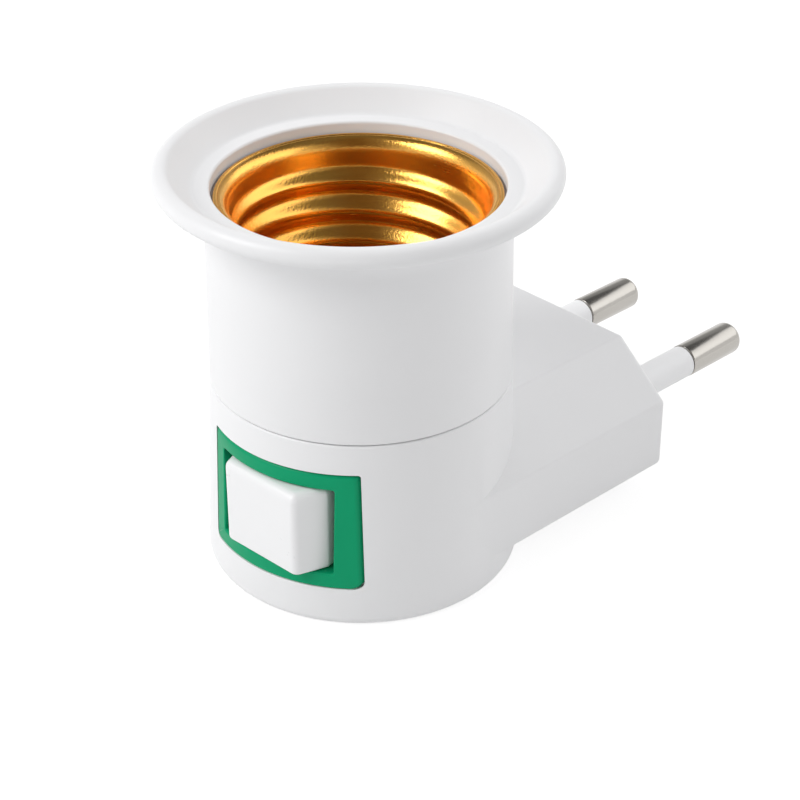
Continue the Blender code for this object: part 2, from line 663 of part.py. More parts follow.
def lower_housing():
    """Cup and plug block in one moulding, open below, with bosses and the rib that holds the pins."""
    profile = [
        (0, CUP_TOP_Z),
        *arc((SEAM_RADIUS - SEAM_ROUNDING, CUP_TOP_Z - SEAM_ROUNDING), SEAM_ROUNDING, 90, 0, 2),
        *arc((CUP_FOOT_RADIUS - CUP_FOOT_ROUNDING, CUP_FOOT_ROUNDING), CUP_FOOT_ROUNDING, 0, -90, 4),
        (0, 0),
    ]
    housing = turned("lower_housing", profile, BODY_STEPS, HOUSING_WHITE)
    block = outline_mesh("block", [block_outline()], 0, BLOCK_LENGTH, BLOCK_ROUNDING)
    join(housing, place("block", along_y(block), None))
    foot_inner = CUP_FOOT_RADIUS - CUP_FOOT_WALL
    cavity_profile = [
        (0, CUP_TOP_Z + GAP),
        (CUP_TOP_INNER, CUP_TOP_Z + GAP),
        (CUP_TOP_INNER, UPPER_FOOT_Z - SPIGOT_DEPTH - GAP),
        (foot_inner, COVER_SEAT_Z),
        (COVER_RADIUS + GAP, COVER_SEAT_Z),
        (COVER_RADIUS + GAP, -GAP),
        (0, -GAP),
    ]
    cavity = turned("cup_cavity", cavity_profile, BODY_STEPS, None)
    section = block_outline(BLOCK_WALL)
    inner = outline_mesh("block_cavity", [section], BLOCK_CAVITY_START, BLOCK_INNER_END)
    recess = box_mesh(
        "cover_recess",
        (-COVER_BLOCK_HALF_WIDTH - GAP, BLOCK_CAVITY_START / 2, -2 * GAP),
        (COVER_BLOCK_HALF_WIDTH + GAP, BLOCK_INNER_END + GAP, COVER_THICKNESS + GAP / 2),
    )
    join(cavity, place("block_cavity", along_y(inner), None), place("cover_recess", recess, None))
    cut(housing, cavity)
    rib_half = BLOCK_HALF_WIDTH - BLOCK_WALL / 2
    rib_top = BLOCK_HEIGHT - BLOCK_WALL / 2
    rib_side = [
        (COVER_BLOCK_HALF_WIDTH, BOSS_FOOT_Z),
        (rib_half, BLOCK_CHAMFER_HEIGHT + BLOCK_WALL / 2),
        (rib_half, BLOCK_SHOULDER_HEIGHT - BLOCK_WALL / 4),
        (BLOCK_TOP_HALF_WIDTH - BLOCK_WALL / 4, rib_top),
    ]
    rib = [*rib_side, *[(-x, z) for x, z in reversed(rib_side)]]
    rib_mesh = outline_mesh("pin_rib", [rib], RIB_START, RIB_END)
    join(housing, place("pin_rib", along_y(rib_mesh), None))
    for x, y in screw_places():
        top = rib_top if x == 0 else BOSS_HEIGHT
        boss = cylinder_mesh("boss", BOSS_RADIUS, BOSS_FOOT_Z, top)
        join(housing, place("boss", boss, None, location=(x, y, 0)))
        pilot = cylinder_mesh("pilot", PILOT_RADIUS, 0, COVER_THICKNESS + SCREW_LENGTH, 16)
        cut(housing, place("pilot", pilot, None, location=(x, y, 0)))
    for x in (-PIN_X, PIN_X):
        slot = box_mesh(
            "pin_slot",
            (x - SHANK_BORE, RIB_START - GAP, 0),
            (x + SHANK_BORE, RIB_END + GAP, PIN_Z + SHANK_BORE),
        )
        cut(housing, place("pin_slot", slot, None))
        bore = cylinder_mesh("sleeve_bore", SLEEVE_RADIUS + SHANK_GAP, RIB_END, BLOCK_LENGTH + GAP)
        cut(housing, place("sleeve_bore", along_y(bore), None, location=(x, 0, PIN_Z)))
    front = -CUP_FOOT_RADIUS - GAP
    recess_outline = rectangle(-BEZEL_HALF - GAP, BEZEL_HALF + GAP, front, -PIVOT_DEPTH)
    seat = switch_cutter("bezel_seat", recess_outline, BEZEL_BOTTOM - GAP / 2, BEZEL_TOP + GAP / 2)
    floor_sink = BEZEL_SINK + BEZEL_THICKNESS + GAP
    cone_low = BEZEL_BOTTOM - BEZEL_BELOW
    cone_high = BEZEL_TOP + BEZEL_ABOVE
    cut(seat, cup_solid("bezel_seat_floor", floor_sink, None, cone_low, cone_high))
    cut(housing, seat)
    opening = rectangle(-OPENING_HALF, OPENING_HALF, front, 0)
    low = SWITCH_Z - OPENING_HALF_HEIGHT
    high = SWITCH_Z + OPENING_HALF_HEIGHT
    cut(housing, switch_cutter("switch_opening", opening, low, high))


def base_cover():
    """Flat cover of the underside, let in flush, with three screw holes."""
    corner = math.degrees(math.asin(COVER_BLOCK_HALF_WIDTH / COVER_RADIUS))
    outline = arc((0, 0), COVER_RADIUS, 90 + corner, 450 - corner, 32)
    outline += [(COVER_BLOCK_HALF_WIDTH, BLOCK_INNER_END), (-COVER_BLOCK_HALF_WIDTH, BLOCK_INNER_END)]
    mesh = outline_mesh("base_cover", [outline], 0, COVER_THICKNESS)
    cover = place("base_cover", mesh, HOUSING_WHITE)
    sink = SCREW_HEAD_DEPTH + SCREW_HEAD_HEIGHT + GAP
    for x, y in screw_places():
        hole = cylinder_mesh("cover_hole", PILOT_RADIUS, -GAP, COVER_THICKNESS + GAP, 16)
        sunk = cylinder_mesh("cover_sink", SCREW_HEAD_RADIUS + GAP, -GAP, sink)
        cut(cover, place("cover_hole", hole, None, location=(x, y, 0)))
        cut(cover, place("cover_sink", sunk, None, location=(x, y, 0)))


def cover_screws():
    """Pan-head screws that go up into the bosses, with a slot in the head."""
    top = SCREW_HEAD_DEPTH + SCREW_HEAD_HEIGHT
    end = top + SCREW_LENGTH
    profile = [
        (0, end),
        (0.5 * SCREW_SHANK_RADIUS, end),
        (SCREW_SHANK_RADIUS, end - SCREW_POINT),
        (SCREW_SHANK_RADIUS, top),
        (SCREW_HEAD_RADIUS, top),
        (SCREW_HEAD_RADIUS, SCREW_HEAD_DEPTH + SCREW_HEAD_ROUNDING),
        (SCREW_HEAD_RADIUS - SCREW_HEAD_ROUNDING, SCREW_HEAD_DEPTH),
        (0, SCREW_HEAD_DEPTH),
    ]
    for number, (x, y) in enumerate(screw_places(), 1):
        screw = turned(f"cover_screw_{number}", profile, 16, SCREW_STEEL, location=(x, y, 0))
        slot = box_mesh(
            "screw_slot",
            (-SCREW_HEAD_RADIUS, -SCREW_SLOT_WIDTH / 2, 0),
            (SCREW_HEAD_RADIUS, SCREW_SLOT_WIDTH / 2, SCREW_HEAD_DEPTH + SCREW_SLOT_DEPTH),
        )
        cut(screw, place("screw_slot", slot, None, location=(x, y, 0)))


def rivets():
    """Centre rivet through the leaf, the disc and its strap, and two more through the shell's foot."""
    leaf_top = FLOOR_Z + GAP + SHEET + GAP
    strap_bottom = BASE_Z - GAP - SHEET - GAP
    shell_top = SHELL_FOOT_Z + SHELL_WALL + GAP
    centre = rivet_profile(
        leaf_top, leaf_top - strap_bottom, RIVET_HEAD_RADIUS, RIVET_HEAD_HEIGHT, RIVET_SHANK_RADIUS
    )
    turned("centre_rivet", centre, 12, CONTACT_BRASS)
    names = ("shell_rivet_live", "shell_rivet_plain")
    for name, (x, y) in zip(names, shell_rivet_places()):
        low = strap_bottom if name == names[0] else BASE_Z - GAP
        profile = rivet_profile(
            shell_top, shell_top - low, RIVET_HEAD_RADIUS, RIVET_HEAD_HEIGHT, RIVET_SHANK_RADIUS
        )
        turned(name, profile, 12, CONTACT_BRASS, location=(x, y, 0))


def strap(name, x, y):
    """Sheet tab under the disc, with a leg bent down for its wire."""
    top = BASE_Z - GAP
    path = [
        (STRAP_LEG_Y, top - STRAP_DROP),
        (STRAP_LEG_Y, top),
        (y - STRAP_TAB if y < STRAP_LEG_Y else y + STRAP_TAB, top),
    ]
    if y > STRAP_LEG_Y:
        path.reverse()
    mesh = strip_mesh(name, path, STRAP_HALF_WIDTH, SHEET)
    made = place(name, mesh, CONTACT_BRASS, location=(x, 0, 0))
    hole = cylinder_mesh("strap_hole", RIVET_HOLE, top - 2 * SHEET, top + SHEET, 12)
    cut(made, place("strap_hole", hole, None, location=(x, y, 0)))


def plug_pins():
    """Each pin has a full tip, a thinner shank in a sleeve, a collar and a riveted head behind its lug."""
    pin = [
        (0, PIN_END),
        *arc((PIN_RADIUS - PIN_NOSE, PIN_END - PIN_NOSE), PIN_NOSE, 80, 0, 3),
        (PIN_RADIUS, PIN_METAL_START),
        (PIN_SHANK_RADIUS, PIN_METAL_START),
        (PIN_SHANK_RADIUS, PIN_COLLAR_END),
        (PIN_RADIUS, PIN_COLLAR_END),
        (PIN_RADIUS, PIN_COLLAR_START),
        (PIN_SHANK_RADIUS, PIN_COLLAR_START),
        (PIN_SHANK_RADIUS, PIN_HEAD_END),
        (PIN_HEAD_RADIUS, PIN_HEAD_END),
        (PIN_HEAD_RADIUS, PIN_HEAD_START + 0.4 * PIN_HEAD_THICKNESS),
        (0.6 * PIN_HEAD_RADIUS, PIN_HEAD_START),
        (0, PIN_HEAD_START),
    ]
    sleeve = [
        (SHANK_BORE, PIN_METAL_START - GAP / 2),
        (SLEEVE_RADIUS, PIN_METAL_START - GAP / 2),
        (SLEEVE_RADIUS, BLOCK_INNER_END - GAP),
        (SLEEVE_COLLAR_RADIUS, BLOCK_INNER_END - GAP),
        (SLEEVE_COLLAR_RADIUS, SLEEVE_START),
        (SHANK_BORE, SLEEVE_START),
    ]
    lying = (-math.pi / 2, 0, 0)
    for side, x in (("left", -PIN_X), ("right", PIN_X)):
        spot = {"location": (x, 0, PIN_Z), "rotation": lying}
        turned(f"pin_{side}", pin, 20, PIN_NICKEL, **spot)
        turned(f"pin_sleeve_{side}", sleeve, 20, SLEEVE_WHITE, **spot)
        outline = rectangle(
            -LUG_HALF_WIDTH, LUG_HALF_WIDTH, PIN_Z - LUG_REACH_DOWN, PIN_Z + LUG_REACH_UP
        )
        hole = arc((0, PIN_Z), SHANK_BORE, 0, 330, 11)
        lug = outline_mesh(f"pin_lug_{side}", [outline, hole], LUG_START, LUG_END)
        place(f"pin_lug_{side}", along_y(lug), CONTACT_BRASS, location=(x, 0, 0))


def switch_frame():
    """Green bezel and switch box in one moulding, with the window that the rocker swings in."""
    front = -CUP_FOOT_RADIUS - GAP
    back = -BOX_BACK + BOX_BACK_WALL
    low = SWITCH_Z - BOX_HALF_HEIGHT
    high = SWITCH_Z + BOX_HALF_HEIGHT
    body = outline_mesh("switch_frame", [rectangle(-BOX_HALF, BOX_HALF, front, back)], low, high)
    frame = place("switch_frame", body, FRAME_GREEN, parent=SWITCH_STATION)
    cone_low = BEZEL_BOTTOM - BEZEL_BELOW
    cone_high = BEZEL_TOP + BEZEL_ABOVE
    keep_inside(frame, cup_solid("frame_face", BEZEL_SINK, None, cone_low, cone_high))
    plate = box_mesh(
        "bezel",
        (-BEZEL_HALF, front, BEZEL_BOTTOM),
        (BEZEL_HALF, -PIVOT_DEPTH, BEZEL_TOP),
        BEZEL_ROUNDING,
        lambda edge: abs(edge.verts[0].co.y - edge.verts[1].co.y) > BEZEL_THICKNESS,
    )
    bezel = place("bezel", plate, None, parent=SWITCH_STATION)
    keep_inside(bezel, cup_solid("bezel_face", BEZEL_SINK, None, cone_low, cone_high))
    cut(bezel, cup_solid("bezel_back", BEZEL_SINK + BEZEL_THICKNESS, None, cone_low, cone_high))
    join(frame, bezel)
    mouth = WINDOW_MOUTH
    deep = mouth - WINDOW_FLARE_DEPTH
    window = [
        (-WINDOW_HALF, front),
        (WINDOW_HALF, front),
        (WINDOW_HALF, -mouth),
        (WINDOW_BACK_HALF, -deep),
        (WINDOW_BACK_HALF, -BOX_BACK),
        (-WINDOW_BACK_HALF, -BOX_BACK),
        (-WINDOW_BACK_HALF, -deep),
        (-WINDOW_HALF, -mouth),
    ]
    window_low = SWITCH_Z - WINDOW_HALF_HEIGHT
    window_high = SWITCH_Z + WINDOW_HALF_HEIGHT
    cut(frame, switch_cutter("window", window, window_low, window_high))
    pivot = cylinder_mesh("trunnion_hole", TRUNNION_RADIUS + SHANK_GAP, low - GAP, high + GAP, 20)
    cut(
        frame,
        place("trunnion_hole", pivot, None, parent=SWITCH_STATION, location=(0, -PIVOT_DEPTH, 0)),
    )
    for x, half in ((0, TERMINAL_THICKNESS / 2), (-SIDE_TERMINAL_X, SIDE_TERMINAL_THICKNESS / 2)):
        slot = rectangle(x - half - SHANK_GAP, x + half + SHANK_GAP, -BOX_BACK - GAP, back + GAP)
        slot_low = SWITCH_Z - TERMINAL_HALF_WIDTH - SHANK_GAP
        slot_high = SWITCH_Z + TERMINAL_HALF_WIDTH + SHANK_GAP
        cut(frame, switch_cutter("terminal_slot", slot, slot_low, slot_high))


def rocker():
    """Hollow rocker on two trunnions, with the tube that guides the plunger."""
    half = ROCKER_HEIGHT / 2
    outer = [
        (-ROCKER_FACE_HALF, -ROCKER_FACE),
        (ROCKER_FACE_HALF, -ROCKER_FACE),
        (ROCKER_SIDE_HALF, -ROCKER_SIDE_FACE),
        (ROCKER_BACK_HALF, -ROCKER_BACK),
        (ROCKER_EAR_HALF, ROCKER_EAR_BACK),
        (-ROCKER_EAR_HALF, ROCKER_EAR_BACK),
        (-ROCKER_BACK_HALF, -ROCKER_BACK),
        (-ROCKER_SIDE_HALF, -ROCKER_SIDE_FACE),
    ]
    pivot = (0, -PIVOT_DEPTH, SWITCH_Z)
    mesh = outline_mesh("rocker", [outer], -half, half, ROCKER_ROUNDING)
    body = place("rocker", mesh, ROCKER_WHITE, SWITCH_STATION, pivot, (0, 0, -ROCKER_TILT))
    face = -ROCKER_FACE + ROCKER_WALL
    hollow = [
        (-ROCKER_FACE_HALF + 0.7 * ROCKER_WALL, face),
        (ROCKER_FACE_HALF - 0.7 * ROCKER_WALL, face),
        (ROCKER_SIDE_HALF - ROCKER_WALL, -ROCKER_SIDE_FACE),
        (ROCKER_BACK_HALF - ROCKER_WALL, -ROCKER_BACK),
        (ROCKER_BACK_HALF - ROCKER_WALL, ROCKER_EAR_BACK + GAP),
        (-ROCKER_BACK_HALF + ROCKER_WALL, ROCKER_EAR_BACK + GAP),
        (-ROCKER_BACK_HALF + ROCKER_WALL, -ROCKER_BACK),
        (-ROCKER_SIDE_HALF + ROCKER_WALL, -ROCKER_SIDE_FACE),
    ]
    inner = outline_mesh("rocker_hollow", [hollow], ROCKER_WALL - half, half - ROCKER_WALL)
    cut(body, place("rocker_hollow", inner, None, body))
    tube = cylinder_mesh("plunger_tube", TUBE_RADIUS, face - GAP, TUBE_END, 20)
    join(body, place("plunger_tube", along_y(tube), None, body))
    bore = cylinder_mesh("plunger_bore", TUBE_BORE, TUBE_START, TUBE_END + GAP, 16)
    cut(body, place("plunger_bore", along_y(bore), None, body))
    for side in (-1, 1):
        ends = sorted((side * (half - ROCKER_WALL / 2), side * (half + TRUNNION_LENGTH)))
        join(body, place("trunnion", cylinder_mesh("trunnion", TRUNNION_RADIUS, *ends, 16), None, body))
    return body


def plunger_and_spring(carrier):
    """Plunger with a rounded nose, and the coil spring behind it in the rocker's tube."""
    tail = PLUNGER_REACH - PLUNGER_LENGTH
    neck = PLUNGER_REACH - PLUNGER_NOSE_LENGTH
    profile = [
        (0, PLUNGER_REACH),
        *arc((0, PLUNGER_REACH - PLUNGER_NOSE_RADIUS), PLUNGER_NOSE_RADIUS, 68, 0, 3),
        (PLUNGER_NOSE_RADIUS, neck),
        (PLUNGER_RADIUS, neck - PLUNGER_CHAMFER),
        (PLUNGER_RADIUS, tail),
        (0, tail),
    ]
    lying = (-math.pi / 2, 0, 0)
    turned("plunger", profile, 16, INSULATOR, parent=carrier, rotation=lying)
    start = TUBE_START + GAP / 2 + SPRING_WIRE
    end = tail - GAP - SPRING_WIRE
    radius = PLUNGER_RADIUS - SPRING_WIRE
    curve = bpy.data.curves.new("plunger_spring", "CURVE")
    curve.dimensions = "3D"
    curve.bevel_depth = SPRING_WIRE
    curve.bevel_resolution = 1
    curve.use_fill_caps = True
    steps = SPRING_TURNS * 8
    spline = curve.splines.new("POLY")
    spline.points.add(steps)
    for step, point in enumerate(spline.points):
        angle = TURN * SPRING_TURNS * step / steps
        along = start + (end - start) * step / steps
        point.co = (radius * math.cos(angle), along, radius * math.sin(angle), 1)
    spring = bpy.data.objects.new("plunger_spring", curve)
    spring.parent = carrier
    curve.materials.append(SCREW_STEEL)
    PARTS.objects.link(spring)


def seesaw():
    """Seesaw contact on its knife edge, with a silver button at one end."""
    pivot = (0, -SEESAW_PIVOT, SWITCH_Z)
    outline = rectangle(-SEESAW_HALF_LENGTH, SEESAW_HALF_LENGTH, -SEESAW_THICKNESS, 0)
    mesh = outline_mesh("seesaw_contact", [outline], -SEESAW_HALF_WIDTH, SEESAW_HALF_WIDTH)
    plate = place("seesaw_contact", mesh, CONTACT_BRASS, SWITCH_STATION, pivot, (0, 0, SEESAW_TILT))
    hole = cylinder_mesh("button_hole", BUTTON_HOLE, -SEESAW_THICKNESS - GAP, GAP, 12)
    cut(plate, place("button_hole", along_y(hole), None, plate, (-BUTTON_X, 0, 0)))
    tail = -SEESAW_THICKNESS - GAP / 2
    profile = [
        (0, BUTTON_HEIGHT),
        (BUTTON_RADIUS - BUTTON_CHAMFER, BUTTON_HEIGHT),
        (BUTTON_RADIUS, BUTTON_HEIGHT - BUTTON_CHAMFER),
        (BUTTON_RADIUS, GAP / 2),
        (BUTTON_SHANK_RADIUS, GAP / 2),
        (BUTTON_SHANK_RADIUS, tail),
        (BUTTON_TAIL_RADIUS, tail),
        (BUTTON_SHANK_RADIUS, tail - BUTTON_CHAMFER),
        (0, tail - BUTTON_CHAMFER),
    ]
    lying = (-math.pi / 2, 0, 0)
    turned(
        "moving_button", profile, 16, BUTTON_SILVER, parent=plate, location=(-BUTTON_X, 0, 0), rotation=lying
    )


def terminals():
    """Middle terminal with the knife edge, and side terminal with its fixed button."""
    half = TERMINAL_THICKNESS / 2
    edge = -SEESAW_PIVOT + WORKING_GAP
    knife = [
        (-KNIFE_HALF, edge),
        (KNIFE_HALF, edge),
        (half, edge + KNIFE_RISE),
        (half, TERMINAL_TAIL),
        (-half, TERMINAL_TAIL),
        (-half, edge + KNIFE_RISE),
    ]
    low = SWITCH_Z - TERMINAL_HALF_WIDTH
    high = SWITCH_Z + TERMINAL_HALF_WIDTH
    middle = outline_mesh("middle_terminal", [knife], low, high)
    place("middle_terminal", middle, CONTACT_BRASS, SWITCH_STATION)
    side_half = SIDE_TERMINAL_THICKNESS / 2
    face = -BOX_BACK - GAP
    strip = [
        (-SIDE_TERMINAL_X - side_half, face - SIDE_TERMINAL_THICKNESS),
        (-SIDE_TERMINAL_REACH, face - SIDE_TERMINAL_THICKNESS),
        (-SIDE_TERMINAL_REACH, face),
        (-SIDE_TERMINAL_X + side_half, face),
        (-SIDE_TERMINAL_X + side_half, TERMINAL_TAIL),
        (-SIDE_TERMINAL_X - side_half, TERMINAL_TAIL),
    ]
    side = outline_mesh("side_terminal", [strip], low, high)
    made = place("side_terminal", side, CONTACT_BRASS, SWITCH_STATION)
    inner_face = face - SIDE_TERMINAL_THICKNESS
    hole = cylinder_mesh("fixed_button_hole", BUTTON_HOLE, inner_face - GAP, face + GAP, 12)
    spot = (-BUTTON_X, 0, SWITCH_Z)
    cut(made, place("fixed_button_hole", along_y(hole), None, SWITCH_STATION, spot))
    seat = inner_face - GAP / 2
    top = -BUTTON_CLOSED + BUTTON_HEIGHT + GAP
    profile = [
        (0, face),
        (BUTTON_SHANK_RADIUS, face),
        (BUTTON_SHANK_RADIUS, seat),
        (BUTTON_RADIUS, seat),
        (BUTTON_RADIUS, top + BUTTON_CHAMFER),
        (BUTTON_RADIUS - BUTTON_CHAMFER, top),
        (0, top),
    ]
    lying = (-math.pi / 2, 0, 0)
    turned(
        "fixed_button", profile, 16, BUTTON_SILVER, parent=SWITCH_STATION, location=spot, rotation=lying
    )


def wire(name, points, finish):
    """Insulated wire along a smooth curve through some points."""
    curve = bpy.data.curves.new(name, "CURVE")
    curve.dimensions = "3D"
    curve.bevel_depth = WIRE_RADIUS
    curve.bevel_resolution = 2
    curve.use_fill_caps = True
    smooth = smooth_points(points, 3)
    spline = curve.splines.new("POLY")
    spline.points.add(len(smooth) - 1)
    for point, spot in zip(spline.points, smooth):
        point.co = (*spot, 1)
    curve.materials.append(finish)
    PARTS.objects.link(bpy.data.objects.new(name, curve))


def smooth_points(points, parts):
    """Points on a smooth curve that goes through each given point."""
    ends = [points[0], *points, points[-1]]
    smooth = []
    for corners in zip(ends, ends[1:], ends[2:], ends[3:]):
        for step in range(parts):
            smooth.append(tuple(between(*line, step / parts) for line in zip(*corners)))
    return [*smooth, points[-1]]


def between(before, start, end, after, share):
    """Smooth value a share of the way from a start to an end, with a neighbour on each side."""
    slope = end - before
    bend = 2 * before - 5 * start + 4 * end - after
    twist = 3 * start - before - 3 * end + after
    return 0.5 * (2 * start + slope * share + bend * share**2 + twist * share**3)


def in_switch(x, y, z):
    """World place of a place in the switch's own frame."""
    c = math.cos(SWITCH_TURN)
    s = math.sin(SWITCH_TURN)
    return (x * c - y * s, x * s + y * c, z)


def wires():
    """Three wires, each with a straight lead at both ends and one bend point between them."""
    gap = 1.2 * GAP
    lug_y = LUG_START - gap
    lug_z = PIN_Z + LUG_REACH_UP - WIRE_INSET
    strap_y = STRAP_LEG_Y + SHEET + gap
    strap_z = BASE_Z - GAP - STRAP_DROP + WIRE_INSET
    tail = TERMINAL_TAIL + gap
    wire(
        "wire_pin_to_switch",
        [
            in_switch(0, tail, SWITCH_Z),
            in_switch(-WIRE_RADIUS, tail + WIRE_LEAD, SWITCH_Z),
            (-0.6 * PIN_X, (tail + lug_y) / 2, (SWITCH_Z + lug_z) / 2),
            (-PIN_X, lug_y - WIRE_LEAD, lug_z),
            (-PIN_X, lug_y, lug_z),
        ],
        WIRE_BROWN,
    )
    wire(
        "wire_switch_to_centre",
        [
            in_switch(-SIDE_TERMINAL_X, tail, SWITCH_Z),
            in_switch(-SIDE_TERMINAL_X, tail + WIRE_LEAD, SWITCH_Z),
            (-0.7 * SIDE_TERMINAL_X, strap_y + 2.2 * WIRE_LEAD, (SWITCH_Z + strap_z) / 2),
            (0, strap_y + WIRE_LEAD, strap_z),
            (0, strap_y - SHEET, strap_z),
        ],
        WIRE_BROWN,
    )
    wire(
        "wire_pin_to_shell",
        [
            (SHELL_RIVET_X, strap_y, strap_z),
            (SHELL_RIVET_X, strap_y + WIRE_LEAD, strap_z),
            ((SHELL_RIVET_X + PIN_X) / 2, 0.85 * CUP_TOP_INNER, lug_z + WIRE_INSET),
            (PIN_X, lug_y - WIRE_LEAD, lug_z),
            (PIN_X, lug_y, lug_z),
        ],
        WIRE_BLUE,
    )


def build():
    upper_housing()
    screw_shell()
    contact_base()
    centre_contact()
    rivets()
    strap("centre_strap", 0, 0)
    strap("shell_strap", SHELL_RIVET_X, SHELL_RIVET_Y)
    lower_housing()
    base_cover()
    cover_screws()
    plug_pins()
    switch_frame()
    plunger_and_spring(rocker())
    seesaw()
    terminals()
    wires()


build()
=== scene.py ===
# %% [markdown]
# # Plug in lamp holder
# The object is a white moulded lamp holder that plugs straight into a wall socket. A brass
# screw shell sits in a dished flange, and a rocker switch in a green frame sits in the foot.
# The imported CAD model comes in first. It is the fixed frame: each piece that is made below
# takes its place from it, and each CAD body that is kept only gets a better surface.

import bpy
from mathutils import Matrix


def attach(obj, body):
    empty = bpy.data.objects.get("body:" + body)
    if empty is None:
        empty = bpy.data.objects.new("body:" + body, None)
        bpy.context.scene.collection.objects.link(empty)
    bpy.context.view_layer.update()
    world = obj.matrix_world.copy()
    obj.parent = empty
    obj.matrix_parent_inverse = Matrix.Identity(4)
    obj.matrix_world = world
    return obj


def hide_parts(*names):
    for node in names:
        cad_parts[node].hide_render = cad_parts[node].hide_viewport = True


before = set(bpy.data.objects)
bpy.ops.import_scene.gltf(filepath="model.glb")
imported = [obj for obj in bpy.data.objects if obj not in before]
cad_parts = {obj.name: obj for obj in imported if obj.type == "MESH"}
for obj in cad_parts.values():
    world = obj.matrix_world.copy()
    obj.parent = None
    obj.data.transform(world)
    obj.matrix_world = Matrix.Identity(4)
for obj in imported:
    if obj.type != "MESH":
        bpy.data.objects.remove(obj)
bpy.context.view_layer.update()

# %% [markdown]
# Sizes are written in millimetres and turned into metres by MM. They are the sizes of the
# real holder: an E27 thread with a pitch of 3.629 mm and plug pins 4 mm thick.

# %% Sizes shared by several pieces
import math

import bmesh
import bpy
from mathutils import Matrix, Vector

MM = 0.001
TURN = 2 * math.pi

BORE_RADIUS = 14.1 * MM
BRASS_RIM_Z = 42.84 * MM
SHELL_FOOT_Z = 23.1 * MM
SEAM_RADIUS = 16.29 * MM
SEAM_LOW = 21.97 * MM
SEAM_HIGH = 22.11 * MM
CUP_FOOT_RADIUS = 17.28 * MM
CUP_FOOT_ROUNDING = 1.03 * MM
BLOCK_END = 31.9 * MM
BLOCK_CAVITY_START = 9.0 * MM
COVER_THICKNESS = 2.2 * MM
COVER_RADIUS = 15.6 * MM
COVER_HALF_WIDTH = 11.3 * MM
PIN_X = 8.25 * MM
PIN_Z = 8.05 * MM
SWITCH_Z = 11.45 * MM
SWITCH_TURN = math.radians(13)
PIVOT_DEPTH = 9.9 * MM
SCREW_PLACES = ((11.652, 4.241), (-11.652, 4.241), (0.0, 21.4))

# %% [markdown]
# The camera stands where the photographer stood: a little to the right of the switch, about
# 31 degrees up, with a long lens, so that the upright lines stay nearly parallel.
# Its three axes are written as the columns of its matrix.

# %% Camera
lens = bpy.data.cameras.new("photo_camera")
lens.sensor_width = 36
lens.lens = 93.53
camera = bpy.data.objects.new("photo_camera", lens)
to_right = Vector((0.68827, 0.72546, -0.00209))
to_top = Vector((-0.37253, 0.35591, 0.85706))
to_back = Vector((0.62250, -0.58910, 0.51522))
pose = Matrix((to_right, to_top, to_back)).transposed().to_4x4()
pose.translation = Vector((0.143691, -0.130212, 0.134267))
camera.matrix_world = pose
bpy.context.scene.collection.objects.link(camera)
bpy.context.scene.camera = camera
bpy.context.scene.view_settings.view_transform = "Standard"
print("camera distance in mm:", round(pose.translation.length / MM, 1))

# %% [markdown]
# Node trees are easier to read as sums. A Field stands for one socket, and a plus or a times
# on it adds the Math node that does it. A Graph adds any other node: its settings first, and
# then the values or links of its sockets. Both work for shaders and for Geometry Nodes.


# %% Node maths
class Field:
    """One socket of a node tree, on which sums can be written."""

    def __init__(self, graph, socket):
        self.graph = graph
        self.socket = socket

    def maths(self, operation, *values):
        return self.graph.node("ShaderNodeMath", {"operation": operation}, dict(enumerate(values)))

    def __add__(self, other):
        return self.maths("ADD", self, other)

    def __radd__(self, other):
        return self.maths("ADD", other, self)

    def __sub__(self, other):
        return self.maths("SUBTRACT", self, other)

    def __rsub__(self, other):
        return self.maths("SUBTRACT", other, self)

    def __mul__(self, other):
        return self.maths("MULTIPLY", self, other)

    def __rmul__(self, other):
        return self.maths("MULTIPLY", other, self)

    def __truediv__(self, other):
        return self.maths("DIVIDE", self, other)

    def __rtruediv__(self, other):
        return self.maths("DIVIDE", other, self)

    def lowest(self, other):
        return self.maths("MINIMUM", self, other)

    def highest(self, other):
        return self.maths("MAXIMUM", self, other)

    def root(self):
        return self.maths("SQRT", self)

    def cosine(self):
        return self.maths("COSINE", self)

    def sine(self):
        return self.maths("SINE", self)


class Graph:
    """A node tree that grows call by call."""

    def __init__(self, tree):
        self.tree = tree

    def node(self, kind, settings=None, values=None, output=0):
        made = self.tree.nodes.new(kind)
        for name, value in (settings or {}).items():
            if name == "stops":
                self.set_stops(made.color_ramp, value)
            else:
                setattr(made, name, value)
        for name, value in (values or {}).items():
            self.fill(made.inputs[name], value)
        return Field(self, made.outputs[output])

    def fill(self, socket, value):
        if isinstance(value, Field):
            self.tree.links.new(value.socket, socket)
        else:
            socket.default_value = value

    def set_stops(self, ramp, stops):
        while len(ramp.elements) < len(stops):
            ramp.elements.new(0.5)
        for element, (place, shade) in zip(ramp.elements, stops):
            element.position = place
            element.color = (*shade, 1.0)

    def noise(self, where, scale, detail=2.0):
        values = {"Vector": where, "Scale": scale, "Detail": detail}
        return self.node("ShaderNodeTexNoise", {}, values)

    def stretched(self, where, x, y, z):
        values = {0: where, 1: (x, y, z)}
        return self.node("ShaderNodeVectorMath", {"operation": "MULTIPLY"}, values)

    def blend(self, share, first, second):
        settings = {"data_type": "RGBA"}
        return self.node("ShaderNodeMix", settings, {0: share, 6: first, 7: second}, output=2)


print("node maths ready")

# %% [markdown]
# The background of the photo is plain white. The floor is a real pale floor that takes the
# holder's soft shadow. To the camera, and in reflections, it adds a little light of its own,
# so that it comes out white and no lamp has to be turned up. In reflections the sky is white
# at the horizon, grey above it and dark overhead, as in a studio with a dark ceiling, and a
# brown card stands on the camera's side. The card gives the brass thread its dark bands.

